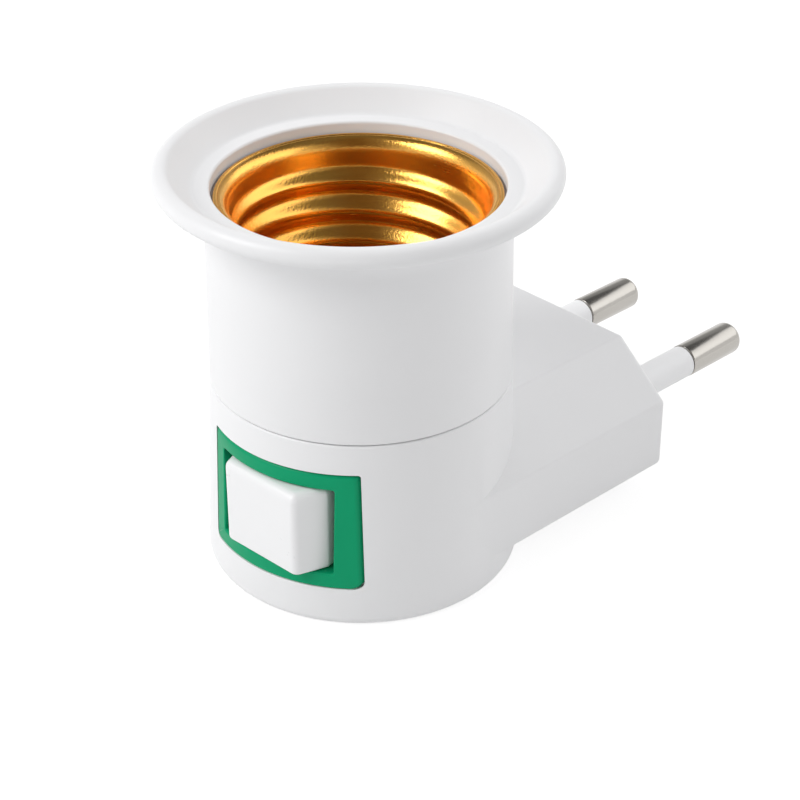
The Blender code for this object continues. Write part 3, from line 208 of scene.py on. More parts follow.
# %% Floor and surroundings
FLOOR_GREY = 0.82
SHOWN_GREY = 0.3
SHOWN_GLOW = 0.82
FLOOR_HALF_WIDTH = 2.5
FLOOR_DROP = 0.02 * MM
FILL_LIGHT = 0.44
SKY_LEVELS = ((0.0, 1.0), (0.22, 1.0), (0.36, 0.45), (0.6, 0.42), (0.7, 0.12), (1.0, 0.15))
CARD_BROWN = (0.12, 0.08, 0.04, 1)
CARD_EDGE, CARD_EDGE_FADE = 0.74, 0.22
CARD_FOOT, CARD_FOOT_FADE = 0.05, 0.15
WHITE = (1, 1, 1, 1)


def seen_directly(graph):
    """1 for camera, glossy and transmission rays, and 0 for the rest."""
    camera_ray = graph.node("ShaderNodeLightPath", output="Is Camera Ray")
    glossy_ray = graph.node("ShaderNodeLightPath", output="Is Glossy Ray")
    clear_ray = graph.node("ShaderNodeLightPath", output="Is Transmission Ray")
    return (camera_ray + glossy_ray + clear_ray).lowest(1.0)


def grey(level):
    return (level, level, level, 1)


def make_floor():
    surface = bpy.data.materials.new("studio_floor")
    surface.use_nodes = True
    graph = Graph(surface.node_tree)
    output = surface.node_tree.nodes["Material Output"]
    surface.node_tree.nodes.remove(surface.node_tree.nodes["Principled BSDF"])
    plain = graph.node("ShaderNodeBsdfDiffuse", {}, {"Color": grey(FLOOR_GREY)})
    soft = graph.node("ShaderNodeBsdfDiffuse", {}, {"Color": grey(SHOWN_GREY)})
    glow = graph.node("ShaderNodeEmission", {}, {"Color": WHITE, "Strength": SHOWN_GLOW})
    shown = graph.node("ShaderNodeAddShader", {}, {0: soft, 1: glow})
    sides = {0: seen_directly(graph), 1: plain, 2: shown}
    graph.fill(output.inputs["Surface"], graph.node("ShaderNodeMixShader", {}, sides))
    shape = bmesh.new()
    bmesh.ops.create_grid(shape, x_segments=1, y_segments=1, size=FLOOR_HALF_WIDTH)
    mesh = bpy.data.meshes.new("studio_floor")
    shape.to_mesh(mesh)
    shape.free()
    mesh.transform(Matrix.Translation((0, 0, -FLOOR_DROP)))
    mesh.materials.append(surface)
    floor = bpy.data.objects.new("studio_floor", mesh)
    bpy.context.scene.collection.objects.link(floor)
    return floor


def make_sky():
    """White for the camera, the studio for what mirrors it, and an even grey as light."""
    world = bpy.data.worlds.new("studio")
    bpy.context.scene.world = world
    world.use_nodes = True
    graph = Graph(world.node_tree)
    way = graph.node("ShaderNodeTexCoord", output="Generated")
    across, depth, height = [
        graph.node("ShaderNodeSeparateXYZ", {}, {0: way}, output=axis) for axis in "XYZ"
    ]
    stops = [(place, grey(level)[:3]) for place, level in SKY_LEVELS]
    open_sky = graph.node("ShaderNodeValToRGB", {"stops": stops}, {"Fac": height})
    level = (1.0 - height * height).highest(0.0001).root()
    front = Vector((to_back.x, to_back.y)).normalized()
    ahead = (across * front.x + depth * front.y) / level
    inside_edge = ((ahead - CARD_EDGE) / CARD_EDGE_FADE).highest(0.0).lowest(1.0)
    above_foot = ((height - CARD_FOOT) / CARD_FOOT_FADE).highest(0.0).lowest(1.0)
    mirrored = graph.blend(inside_edge * above_foot, open_sky, CARD_BROWN)
    camera_ray = graph.node("ShaderNodeLightPath", output="Is Camera Ray")
    shown = graph.blend(camera_ray, mirrored, WHITE)
    background = world.node_tree.nodes["Background"]
    lit = graph.blend(seen_directly(graph), grey(FILL_LIGHT), shown)
    graph.fill(background.inputs["Color"], lit)


floor = make_floor()
make_sky()
print("stage:", floor.name)

# %% [markdown]
# The photo's light is a large soft lamp on the left, a weaker one on the right, and soft
# light from all round. The body is brightest at its left edge and darkest just right of its
# middle, and the brass shows one bright patch for each lamp. A third lamp lights the flange
# and the top of the block from behind. It isn't mirrored, so the brass keeps two patches.


# %% Lamps
def make_lamp(name, degrees_right, degrees_up, distance, size, power):
    """Soft lamp of (width, height), with its place given as seen from the camera's side."""
    heading = math.atan2(to_back.y, to_back.x) + math.radians(degrees_right)
    rise = math.radians(degrees_up)
    reach = math.cos(rise)
    away = Vector((math.cos(heading) * reach, math.sin(heading) * reach, math.sin(rise)))
    light = bpy.data.lights.new(name, "AREA")
    light.shape = "RECTANGLE"
    light.size = size[0]
    light.size_y = size[1]
    light.energy = power
    lamp = bpy.data.objects.new(name, light)
    target = Vector((0, 5 * MM, 22 * MM))
    lamp.location = target + away * distance
    lamp.rotation_euler = away.to_track_quat("Z", "Y").to_euler()
    bpy.context.scene.collection.objects.link(lamp)
    return lamp


lamps = [
    make_lamp("key_lamp", -70, 40, 0.6, (0.35, 0.35), 2.1),
    make_lamp("side_lamp", 98, 31, 0.6, (0.9, 0.34), 1.25),
    make_lamp("back_lamp", 175, 48, 0.7, (0.5, 0.3), 1.05),
]
lamps[-1].visible_glossy = False
print("lamps:", [lamp.name for lamp in lamps])

# %% [markdown]
# White plastic looks dull if it is one flat colour. The mould leaves a very fine grain, the
# gloss is a little uneven, and the colour drifts by about one part in a hundred. All of it
# comes from three noise patterns on Object coordinates, so it stays put on the piece.

# %% Plastic finishes
CLOUD_SCALE, SKIN_SCALE, SPECK_SCALE = 140, 1400, 5200
GRAIN_HEIGHT = 0.01 * MM


def new_finish(name, roughness, metallic=0.0, **plain):
    """Material with its shader's plain values set, with its graph, shader and place."""
    surface = bpy.data.materials.new(name)
    surface.use_nodes = True
    shader = surface.node_tree.nodes["Principled BSDF"]
    shader.inputs["Roughness"].default_value = roughness
    shader.inputs["Metallic"].default_value = metallic
    for socket, value in plain.items():
        shader.inputs[socket.replace("_", " ")].default_value = value
    graph = Graph(surface.node_tree)
    where = graph.node("ShaderNodeTexCoord", output="Object")
    return surface, graph, shader, where


def shade(colour, factor):
    return (*[min(1.0, part * factor) for part in colour], 1.0)


def bump(graph, shader, height, strength, depth):
    settings = {"Height": height, "Strength": strength, "Distance": depth}
    graph.fill(shader.inputs["Normal"], graph.node("ShaderNodeBump", {}, settings))


def moulded_plastic(name, colour, roughness, grain=0.12, drift=0.012, **plain):
    surface, graph, shader, where = new_finish(name, roughness, **plain)
    cloud = graph.noise(where, CLOUD_SCALE, 3)
    speck = graph.noise(where, SPECK_SCALE)
    grains = graph.noise(where, SKIN_SCALE)
    darker, paler = shade(colour, 1 - drift), shade(colour, 1 + drift)
    tint = graph.blend(cloud * 0.7 + speck * 0.3, darker, paler)
    graph.fill(shader.inputs["Base Color"], tint)
    uneven = grains * 0.1 + cloud * 0.06 + (roughness - 0.08)
    graph.fill(shader.inputs["Roughness"], uneven)
    bump(graph, shader, speck * 0.6 + grains * 0.4, grain, GRAIN_HEIGHT)
    return surface


housing_white = moulded_plastic("moulded_white", (0.85, 0.85, 0.86), 0.36)
rocker_white = moulded_plastic("rocker_white", (0.88, 0.88, 0.89), 0.3)
sleeve_white = moulded_plastic("sleeve_white", (0.93, 0.93, 0.94), 0.42, drift=0.008)
frame_green = moulded_plastic(
    "frame_green", (0.0, 0.33, 0.145), 0.36, grain=0.16, drift=0.05, Specular_IOR_Level=0.14
)
insulator_cream = moulded_plastic("insulator_cream", (0.66, 0.60, 0.47), 0.5, grain=0.5, drift=0.08)
wire_brown = moulded_plastic("wire_brown", (0.17, 0.07, 0.03), 0.45, drift=0.06)
wire_blue = moulded_plastic("wire_blue", (0.03, 0.12, 0.42), 0.45, drift=0.06)
print("plastics ready")

# %% [markdown]
# The metals differ in how they were worked. The brass shell is drawn and rolled, so faint
# lines run round it, and its skin has a fine orange-peel that sparkles in a highlight. The
# pins are turned bar, so their lines run round the Y axis. Contacts are stamped sheet.

# %% Metal finishes
METAL_CLOUD_SCALE, PEEL_SCALE = 260, 3900
METAL_SKIN_HEIGHT = 0.004 * MM


def worked_metal(name, colour, roughness, lines, line_depth, peel_depth, drift=0.05):
    """Metal with lines squeezed along one axis and an orange-peel skin."""
    surface, graph, shader, where = new_finish(name, roughness, 1.0)
    line = graph.noise(graph.stretched(where, *lines), 1.0, 3)
    cloud = graph.noise(where, METAL_CLOUD_SCALE)
    peel = graph.noise(where, PEEL_SCALE, 1)
    darker, paler = shade(colour, 1 - drift), shade(colour, 1 + drift)
    tint = graph.blend(line * 0.4 + cloud * 0.6, darker, paler)
    graph.fill(shader.inputs["Base Color"], tint)
    uneven = line * 0.08 + cloud * 0.08 + (roughness - 0.08)
    graph.fill(shader.inputs["Roughness"], uneven)
    bump(graph, shader, line * line_depth + peel * peel_depth, 1.0, METAL_SKIN_HEIGHT)
    return surface


shell_brass = worked_metal("drawn_brass", (0.93, 0.50, 0.11), 0.25, (240, 240, 5200), 0.3, 5.0)
contact_brass = worked_metal("stamped_brass", (0.80, 0.58, 0.27), 0.3, (900, 900, 900), 0.3, 1.0)
pin_nickel = worked_metal("turned_nickel", (0.47, 0.45, 0.42), 0.2, (260, 5200, 260), 1.0, 0.4)
button_silver = worked_metal("silver_face", (0.83, 0.82, 0.80), 0.3, (1500, 1500, 1500), 0.4, 0.6)
screw_steel = worked_metal("zinc_steel", (0.56, 0.57, 0.58), 0.32, (700, 700, 700), 0.5, 1.0, 0.08)
print("metals ready")

# %% [markdown]
# Most of the pieces come from one idea: rings of points with a skin over them. A turned
# piece has round rings, and a moulded one has rings that follow its outline. Corners are
# rounded as the mould maker would, by a radius at each corner.

# %% Outlines and skins
LEAST_ROUNDING = 0.01 * MM
MERGE_DISTANCE = 0.0005 * MM
SHARP_EDGE = 0.001 * MM


def in_mm(rows):
    """Rows of numbers in millimetres, turned into metres."""
    return [tuple(value * MM for value in row) for row in rows]


def rounded(corners, steps=6, closed=True):
    """Outline of (x, y, rounding), with each corner that has a rounding made round."""
    points = []
    last = len(corners) - 1
    for index, (x, y, radius) in enumerate(corners):
        here = Vector((x, y))
        if radius <= 0 or (not closed and index in (0, last)):
            points.append((x, y))
            continue
        before = (Vector(corners[index - 1][:2]) - here).normalized()
        after = (Vector(corners[(index + 1) % len(corners)][:2]) - here).normalized()
        half = before.angle(after) / 2
        centre = here + (before + after).normalized() * radius / math.sin(half)
        start = here + before * (radius / math.tan(half)) - centre
        end = here + after * (radius / math.tan(half)) - centre
        sweep = math.atan2(start.x * end.y - start.y * end.x, start.dot(end))
        for step in range(steps + 1):
            spun = Matrix.Rotation(sweep * step / steps, 2) @ start
            points.append((centre.x + spun.x, centre.y + spun.y))
    return points


def inset(corners, amount):
    """Outline that turns left, moved inwards, with its roundings kept in step."""
    shifted = []
    count = len(corners)
    for index, (x, y, radius) in enumerate(corners):
        here = Vector((x, y))
        first = (here - Vector(corners[index - 1][:2])).normalized()
        second = (Vector(corners[(index + 1) % count][:2]) - here).normalized()
        across = Vector((-(first.y + second.y), first.x + second.x))
        here += across * (2 * amount / across.length_squared)
        turn = first.x * second.y - first.y * second.x
        change = -amount if turn > 0 else amount
        rounding = max(LEAST_ROUNDING, radius + change) if radius > 0 else 0
        shifted.append((here.x, here.y, rounding))
    return shifted


def skin(rings, start_cap=False, end_cap=False):
    """Faces over rings that all have the same number of points."""
    shape = bmesh.new()
    rows = [[shape.verts.new(point) for point in ring] for ring in rings]
    for below, above in zip(rows, rows[1:]):
        for index in range(len(below)):
            after = (index + 1) % len(below)
            shape.faces.new((below[index], below[after], above[after], above[index]))
    if start_cap:
        shape.faces.new(rows[0][::-1])
    if end_cap:
        shape.faces.new(rows[-1])
    bmesh.ops.remove_doubles(shape, verts=shape.verts, dist=MERGE_DISTANCE)
    bmesh.ops.recalc_face_normals(shape, faces=shape.faces)
    mesh = bpy.data.meshes.new("skin")
    shape.to_mesh(mesh)
    shape.free()
    return mesh


def turned(profile, steps=160):
    """Profile of (radius, height) turned about Z: a ring-shaped one is closed on itself."""
    if profile[0][0] > 0:
        profile = [*profile, profile[0]]
    rings = []
    for radius, height in profile:
        angles = [TURN * step / steps for step in range(steps)]
        rings.append([(radius * math.cos(a), radius * math.sin(a), height) for a in angles])
    return skin(rings)


def moulded(corners, low, high, edge, top_edge=None, steps=5, corner_steps=6):
    """Outline of (x, y, rounding) raised from low to high, with its end edges rounded."""
    rings = []
    top_edge = top_edge or edge
    angles = [math.pi / 2 * step / steps for step in range(steps + 1)]
    arc = [(1 - math.sin(a), 1 - math.cos(a)) for a in angles]
    lower = [(edge * back, low + edge * rise) for back, rise in arc]
    upper = [(top_edge * back, high - top_edge * fall) for back, fall in reversed(arc)]
    for back, height in [*lower, *upper]:
        outline = rounded(inset(corners, back) if back > 0 else corners, corner_steps)
        rings.append([(x, y, height) for x, y in outline])
    return skin(rings, True, True)


def along_y(mesh):
    """What stood along Z lies along Y."""
    mesh.transform(Matrix(((1, 0, 0, 0), (0, 0, 1, 0), (0, 1, 0, 0), (0, 0, 0, 1))))
    mesh.flip_normals()
    return mesh


def moved(mesh, x=0.0, y=0.0, z=0.0):
    mesh.transform(Matrix.Translation((x, y, z)))
    return mesh


def rod(radius, low, high, steps=48):
    return turned([(0, high), (radius, high), (radius, low), (0, low)], steps)


print("skins ready")

# %% [markdown]
# Openings and joins are Booleans, worked out once, so that the result is a plain mesh.
# A piece then gets its surface, the CAD nodes that it stands for and the body that it moves with.


# %% Carving and placing
def carve(base, *steps):
    """New mesh of a base after each (operation, mesh)."""
    things = [bpy.data.objects.new("carved", base)]
    bpy.context.scene.collection.objects.link(things[0])
    for operation, mesh in steps:
        tool = bpy.data.objects.new("tool", mesh)
        bpy.context.scene.collection.objects.link(tool)
        tool.hide_render = True
        things.append(tool)
        modifier = things[0].modifiers.new("step", "BOOLEAN")
        modifier.operation = operation
        modifier.solver = "EXACT"
        modifier.object = tool
    bpy.context.view_layer.update()
    graph = bpy.context.evaluated_depsgraph_get()
    mesh = bpy.data.meshes.new_from_object(things[0].evaluated_get(graph))
    for thing in things:
        bpy.data.objects.remove(thing)
    return mesh


def add_piece(name, mesh, surface, body, slot, *nodes, sharp=32, weighted=False):
    """Piece that stands for some CAD nodes and moves with a body."""
    mesh.name = name
    mesh.materials.clear()
    mesh.materials.append(surface)
    mesh.shade_smooth()
    mesh.set_sharp_from_angle(angle=math.radians(sharp))
    thing = bpy.data.objects.new(name, mesh)
    bpy.context.scene.collection.objects.link(thing)
    if weighted:
        modifier = thing.modifiers.new("weighted", "WEIGHTED_NORMAL")
        modifier.keep_sharp = True
        modifier.weight = 80
    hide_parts(*nodes)
    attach(thing, body)
    mesh.calc_loop_triangles()
    print(name, "triangles:", len(mesh.loop_triangles))
    return thing


# %% [markdown]
# ## Upper housing
# A white moulding that is round all over, so it is one profile turned about the lamp's
# axis: the bead of the flange, the slope down to the flat ring, the bore with its cone for
# the brass rim, the spigot that goes into the cup, and the hollow flare below the flange.


# %% Upper housing
def upper_profile():
    """Profile from the bead of the flange down the outside and up through the bore."""
    lip = Vector((20.08, 45.27)) * MM
    lip_radius = 1.1 * MM
    bead = []
    for degrees in range(135, -81, -9):
        angle = math.radians(degrees)
        out, up = lip_radius * math.cos(angle), lip_radius * math.sin(angle)
        bead.append((lip.x + out, lip.y + up, 0))
    neck = Vector((16.03, 40.1)) * MM
    flare_steps = 14
    flare = []
    for step in range(1, flare_steps + 1):
        angle = math.radians(90 + 90 * step / flare_steps)
        across = (bead[-1][0] - neck.x) * (1 + math.cos(angle))
        down = (bead[-1][1] - neck.y) * math.sin(angle)
        flare.append((neck.x + across, neck.y + down, 0))
    spigot_radius, spigot_foot = 13.99 * MM, 18.9 * MM
    hole_radius, ledge = 10.6 * MM, 20.3 * MM
    seat_radius, bore_foot = 12.29 * MM, 22.8 * MM
    ring_height = 43.9 * MM
    inside = [
        (SEAM_RADIUS, SEAM_HIGH, 0.15 * MM),
        (spigot_radius, SEAM_HIGH, 0.1 * MM),
        (spigot_radius, spigot_foot, 0.25 * MM),
        (hole_radius, spigot_foot, 0.2 * MM),
        (hole_radius, ledge, 0.15 * MM),
        (seat_radius, ledge, 0.1 * MM),
        (seat_radius, bore_foot, 0.1 * MM),
        (BORE_RADIUS, bore_foot, 0.2 * MM),
        (BORE_RADIUS, BRASS_RIM_Z - 1.9 * MM, 0.5 * MM),
        (15.28 * MM, BRASS_RIM_Z - 0.65 * MM, 0.2 * MM),
        (15.24 * MM, ring_height, 0.3 * MM),
        (17.09 * MM, ring_height, 0.8 * MM),
    ]
    return rounded([*bead, *flare, *inside])


socket_mesh = turned(upper_profile(), 192)
add_piece("moulded_socket", socket_mesh, housing_white, "holder", "housing_white", "upper_housing")

# %% [markdown]
# ## Brass screw shell
# The shell's shape follows a rule, so Geometry Nodes make it: a grid is wrapped round the
# axis, and its radius is a rounded wave that climbs one pitch in each turn. The foot turns
# in, the wave fades out below and above, and the top flares into a brim that has one fine
# groove and a rolled edge.


# %% Tree of the screw shell
def shell_tree():
    """Node group that wraps a grid into a shell with a rolled thread."""
    tree = bpy.data.node_groups.new("rolled_thread", "GeometryNodeTree")
    face = tree.interface
    face.new_socket("Geometry", in_out="OUTPUT", socket_type="NodeSocketGeometry")
    lower = ["Pitch", "Root radius", "Depth", "Root height", "Foot height", "Foot radius"]
    for name in [*lower, "Rim height", "Flare", "Brim", "Groove"]:
        face.new_socket(name, in_out="INPUT", socket_type="NodeSocketFloat")
    face.new_socket("Finish", in_out="INPUT", socket_type="NodeSocketMaterial")
    graph = Graph(tree)
    given = tree.nodes.new("NodeGroupInput")

    def size(name):
        return Field(graph, given.outputs[name])

    cells = {"Size X": 1.0, "Size Y": 1.0, "Vertices X": 240, "Vertices Y": 145}
    grid = graph.node("GeometryNodeMeshGrid", {}, cells)
    spot = graph.node("GeometryNodeInputPosition")
    share = graph.node("ShaderNodeSeparateXYZ", {}, {0: spot}, output="X") + 0.5
    turn = graph.node("ShaderNodeSeparateXYZ", {}, {0: spot}, output="Y") + 0.5
    bend, plain_collar, flare_run, brim_run = 1.2 * MM, 2.45 * MM, 1.75 * MM, 3.2 * MM
    height = size("Rim height") - size("Foot height")
    floor_width = size("Root radius") - size("Foot radius") - bend
    along = share * (height + floor_width + brim_run)
    flat = along.lowest(floor_width)
    rise = (along - floor_width).highest(0.0).lowest(height)
    z = size("Foot height") + rise
    brim = ((along - floor_width - height) / brim_run).highest(0.0)
    ripple = 0.5 - 0.5 * ((brim * 2.0).lowest(1.0) * TURN).cosine()
    rolled = ((brim - 0.8) / 0.2).highest(0.0)
    drop = size("Groove") * (ripple + 0.8 * rolled * rolled)
    wave = ((z - size("Root height")) / size("Pitch") - turn) * TURN
    fade_in = (rise / size("Pitch") - 0.5).highest(0.0).lowest(1.0)
    below_collar = size("Rim height") - plain_collar - z
    fade_out = (below_collar / (0.62 * size("Pitch"))).highest(0.0).lowest(1.0)
    fade = fade_in * fade_out
    soft = fade * fade * (3.0 - 2.0 * fade)
    trough = size("Depth") * 0.5 * (1.0 - wave.cosine()) * soft
    corner = bend - rise.lowest(bend)
    tuck = bend - (bend * bend - corner * corner).highest(0.0).root()
    lift = ((z - size("Rim height") + flare_run) / flare_run).highest(0.0).lowest(1.0)
    # A quarter of a circle, stopped just before it stands level, where it has risen 0.8.
    flare = size("Flare") * (1.0 - (1.0 - lift * lift * 0.96).root()) / 0.8
    wall_radius = size("Root radius") - (floor_width - flat) - tuck - trough
    radius = wall_radius + flare + brim * size("Brim")
    angle = turn * TURN
    spots = {0: radius * angle.cosine(), 1: radius * angle.sine(), 2: z - drop}
    round_spot = graph.node("ShaderNodeCombineXYZ", {}, spots)
    values = {"Geometry": grid, "Position": round_spot}
    wrapped = graph.node("GeometryNodeSetPosition", {}, values)
    values = {"Geometry": wrapped, "Distance": 0.002 * MM}
    closed = graph.node("GeometryNodeMergeByDistance", {}, values)
    return finish_tree(graph, closed, size("Finish"))


def finish_tree(graph, geometry, finish):
    """Realized geometry with its finish, as the tree's output."""
    real = graph.node("GeometryNodeRealizeInstances", {}, {0: geometry})
    values = {"Geometry": real, "Material": finish}
    done = graph.node("GeometryNodeSetMaterial", {}, values)
    result = graph.tree.nodes.new("NodeGroupOutput")
    graph.tree.links.new(done.socket, result.inputs[0])
    return graph.tree


def socket_key(tree, name):
    """Identifier of a group's input, by its name."""
    inputs = [item for item in tree.interface.items_tree if item.in_out == "INPUT"]
    return next(item.identifier for item in inputs if item.name == name)


def bake(name, mesh, tree, values):
    """Plain mesh that a tree makes from a start mesh."""
    thing = bpy.data.objects.new(name, mesh)
    modifier = thing.modifiers.new("tree", "NODES")
    modifier.node_group = tree
    for key, value in values.items():
        modifier[socket_key(tree, key)] = value
    bpy.context.scene.collection.objects.link(thing)
    bpy.context.view_layer.update()
    graph = bpy.context.evaluated_depsgraph_get()
    made = bpy.data.meshes.new_from_object(thing.evaluated_get(graph))
    bpy.data.objects.remove(thing)
    return made


print("shell tree ready")

# %% [markdown]
# The tree runs once, with the sizes of an E27 shell. Its result is a surface, and a Solidify
# modifier then gives the brass sheet its thickness of a quarter of a millimetre.

# %% Screw shell
thread = shell_tree()
shell_sizes = {
    "Pitch": 3.629 * MM,
    "Root radius": 13.35 * MM,
    "Depth": 1.1 * MM,
    "Root height": 2.3 * MM,
    "Foot height": SHELL_FOOT_Z + 0.15 * MM,
    "Foot radius": 7.0 * MM,
    "Rim height": BRASS_RIM_Z - 0.12 * MM,
    "Flare": 1.0 * MM,
    "Brim": 0.63 * MM,
    "Groove": 0.1 * MM,
    "Finish": shell_brass,
}
shell_mesh = bake("thread", bpy.data.meshes.new("start"), thread, shell_sizes)
screw_shell = add_piece(
    "thread_shell", shell_mesh, shell_brass, "holder", "shell_brass", "screw_shell", sharp=60
)
wall = screw_shell.modifiers.new("wall", "SOLIDIFY")
wall.thickness = 0.25 * MM
wall.offset = -1

# %% [markdown]
# ## Lower housing
# The cup and the plug block are one moulding. The cup is turned, the block is an outline
# raised along Y with soft corners, and the two are joined. The cavity, the switch's seat,
# the bores of the pins and the recess of the cover are then cut out of it.


# %% Lower housing
def cup_radius(height):
    """Outer radius of the cup at a height."""
    share = (height - CUP_FOOT_ROUNDING) / (SEAM_LOW - CUP_FOOT_ROUNDING)
    return CUP_FOOT_RADIUS + (SEAM_RADIUS - CUP_FOOT_RADIUS) * share


def mirrored(half):
    """Outline from its right half of (x, y, rounding) in millimetres."""
    right = in_mm(half)
    return right + [(-x, y, rounding) for x, y, rounding in reversed(right)]


def block_corners(back=0.0):
    """Outline of the plug block's end, moved inwards."""
    corners = mirrored([(12.8, 0, 0.8), (16.75, 3.6, 0.8), (16.75, 11.65, 0.8), (9.75, 17.65, 0.8)])
    return inset(corners, back) if back else corners


def oblong(left, right, low, high, radius):
    return [(left, low, radius), (right, low, radius), (right, high, radius), (left, high, radius)]


def box(low, high):
    """Block with sharp edges between two corners."""
    corners = oblong(low[0], high[0], low[1], high[1], 0)
    return moulded(corners, low[2], high[2], SHARP_EDGE, steps=1)


def switch_spot(mesh):
    """From the switch's own axes (X across, -Y outwards) to the object's."""
    mesh.transform(Matrix.Rotation(SWITCH_TURN, 4, "Z"))
    return mesh


def cup_plug(back, low, high):
    """Cone of the cup's outside, moved inwards."""
    upper, lower = cup_radius(high) - back, cup_radius(low) - back
    return turned([(0, high), (upper, high), (lower, low), (0, low)])


def make_seat():
    """Shallow step in the cup's face that the switch frame lies in."""
    depth, low, high = 1.0 * MM, 1 * MM, 21 * MM
    corners = [(-9.37, 4.68, 0.9), (9.83, 4.68, 1.0), (9.25, 18.6, 0.3), (-9.37, 18.46, 0.4)]
    block = along_y(moulded(in_mm(corners), -19 * MM, -9.9 * MM, SHARP_EDGE, steps=1))
    return carve(block, ("DIFFERENCE", cup_plug(depth, low, high)))


def make_lower_housing():
    seam = (SEAM_RADIUS, SEAM_LOW, 0.24 * MM)
    foot = (CUP_FOOT_RADIUS, 0, CUP_FOOT_ROUNDING)
    cup = turned(rounded([(0, SEAM_LOW, 0), seam, foot, (0, 0, 0)], steps=8, closed=False))
    block = along_y(moulded(block_corners(), 0, BLOCK_END, 0.8 * MM, corner_steps=8))
    cover_room = COVER_RADIUS + 0.3 * MM
    cavity = turned(
        [
            (0, 23 * MM),
            (14.29 * MM, 23 * MM),
            (14.29 * MM, 18.6 * MM),
            (14.83 * MM, 2.5 * MM),
            (cover_room, 2.5 * MM),
            (cover_room, -1 * MM),
            (0, -1 * MM),
        ]
    )
    wall = 1.9 * MM
    core = moulded(block_corners(wall), BLOCK_CAVITY_START, BLOCK_END - wall, 0.3 * MM)
    recess = box((-11.6 * MM, 4.5 * MM, -1 * MM), (11.6 * MM, 30.3 * MM, 2.35 * MM))
    holes = [cavity, along_y(core), recess]
    for side in (-1, 1):
        bore = along_y(rod(2.12 * MM, 28 * MM, 33 * MM))
        holes.append(moved(bore, side * PIN_X, 0, PIN_Z))
    window = box((-8.9 * MM, -19 * MM, 5.06 * MM), (8.9 * MM, 0, 17.84 * MM))
    holes += [switch_spot(make_seat()), switch_spot(window)]
    return carve(cup, ("UNION", block), *[("DIFFERENCE", hole) for hole in holes])


cup_mesh = make_lower_housing()
cup_place = ("holder", "housing_white", "lower_housing")
add_piece("moulded_cup", cup_mesh, housing_white, *cup_place, weighted=True)

# %% [markdown]
# ## Switch frame
# The green frame and the box behind it are one moulding, and its rings run in one line: from
# the back of the box out to the face, over the face's edge, and in through the window to the
# chamber's floor. The face follows the cup, so each of its points is laid on the cup's curve,
# a touch below it. The window is upright, and the frame round it widens downwards.

# %% Switch frame
FACE_SINK = 0.07 * MM


def frame_outline(into=0.0):
    """Outer edge of the frame, moved in: the right and top edges move more than the rest."""
    less = 0.3 * into
    low, high = 4.72 * MM + less, 18.4 * MM - into
    return [
        (-9.33 * MM + less, low, 0.9 * MM - into),
        (9.55 * MM - into, low, 1.0 * MM - into),
        (8.97 * MM - into, high, 0.45 * MM),
        (-9.33 * MM + less, high - 0.12 * MM, 0.45 * MM),
    ]


def ring_of(corners, side=22, corner=6):
    """Four rounded corners in the switch's plane as evenly spread points."""
    arcs = rounded(corners, corner)
    points = []
    for index in range(4):
        here = arcs[index * (corner + 1): (index + 1) * (corner + 1)]
        after = arcs[((index + 1) * (corner + 1)) % len(arcs)]
        points += here
        x, z = here[-1]
        for step in range(1, side):
            share = step / side
            points.append((x + (after[0] - x) * share, z + (after[1] - z) * share))
    return points


def face_depth(x, z):
    """How far out the frame's face is at a place."""
    return math.sqrt((cup_radius(z) - FACE_SINK) ** 2 - x * x)


def make_frame():
    edge, sill_edge, rim = 0.4 * MM, 0.25 * MM, 0.8 * MM
    rings = []

    def on_face(points, back):
        rings.append([(x, -(face_depth(x, z) - back), z) for x, z in points])

    def flat(points, out):
        rings.append([(x, -out, z) for x, z in points])

    shaft = ring_of(oblong(-8.6 * MM, 8.6 * MM, 5.36 * MM, 17.54 * MM, 0.3 * MM))
    sill = oblong(-7.65 * MM, 6.8 * MM, 6.4 * MM, 16.55 * MM, sill_edge)
    chamber = ring_of(oblong(-7.8 * MM, 7.7 * MM, 6.35 * MM, 16.55 * MM, 0.25 * MM))
    flat(shaft, -2.2 * MM)
    on_face(shaft, rim)
    on_face(ring_of(frame_outline()), rim)
    for step in range(6):
        angle = math.pi / 2 * step / 5
        outline = frame_outline(edge * (1 - math.cos(angle)))
        on_face(ring_of(outline), edge * (1 - math.sin(angle)))
    for step in range(5):
        angle = math.pi / 2 * step / 4
        outline = inset(sill, -sill_edge * (1 - math.sin(angle)))
        on_face(ring_of(outline), sill_edge * (1 - math.cos(angle)))
    flat(ring_of(sill), 14.6 * MM)
    flat(chamber, 12.9 * MM)
    flat(chamber, -1.0 * MM)
    mesh = skin(rings, True, True)
    pivot = moved(rod(1.4 * MM, 5 * MM, 18 * MM, 40), 0, -PIVOT_DEPTH, 0)
    steps = [("DIFFERENCE", pivot)]
    for x, half in ((0, 0.6), (-6.6, 0.45)):
        low = ((x - half) * MM, 0.5 * MM, 8.25 * MM)
        high = ((x + half) * MM, 2.6 * MM, 14.65 * MM)
        steps.append(("DIFFERENCE", box(low, high)))
    return switch_spot(carve(mesh, *steps))


frame_mesh = make_frame()
frame_place = ("holder", "frame_green", "switch_frame")
add_piece("switch_surround", frame_mesh, frame_green, *frame_place, weighted=True)

# %% [markdown]
# ## Rocker
# The rocker is a hollow moulding with a flat face, slanted sides and two trunnions. At rest
# it is tilted 10 degrees, with its right end proud of the frame. Its outline is raised along
# the trunnions' axis, with a softer edge at the top than at the bottom. It is hollowed out
# behind, round the bored post that holds the plunger.

# %% Rocker
REST_TILT = math.radians(-10)


def rocker_spot(mesh):
    """From the rocker's own axes to the object's, at rest."""
    pivot = Matrix.Translation((0, -PIVOT_DEPTH, SWITCH_Z))
    place = Matrix.Rotation(SWITCH_TURN, 4, "Z") @ pivot
    mesh.transform(place @ Matrix.Rotation(REST_TILT, 4, "Z"))
    return mesh


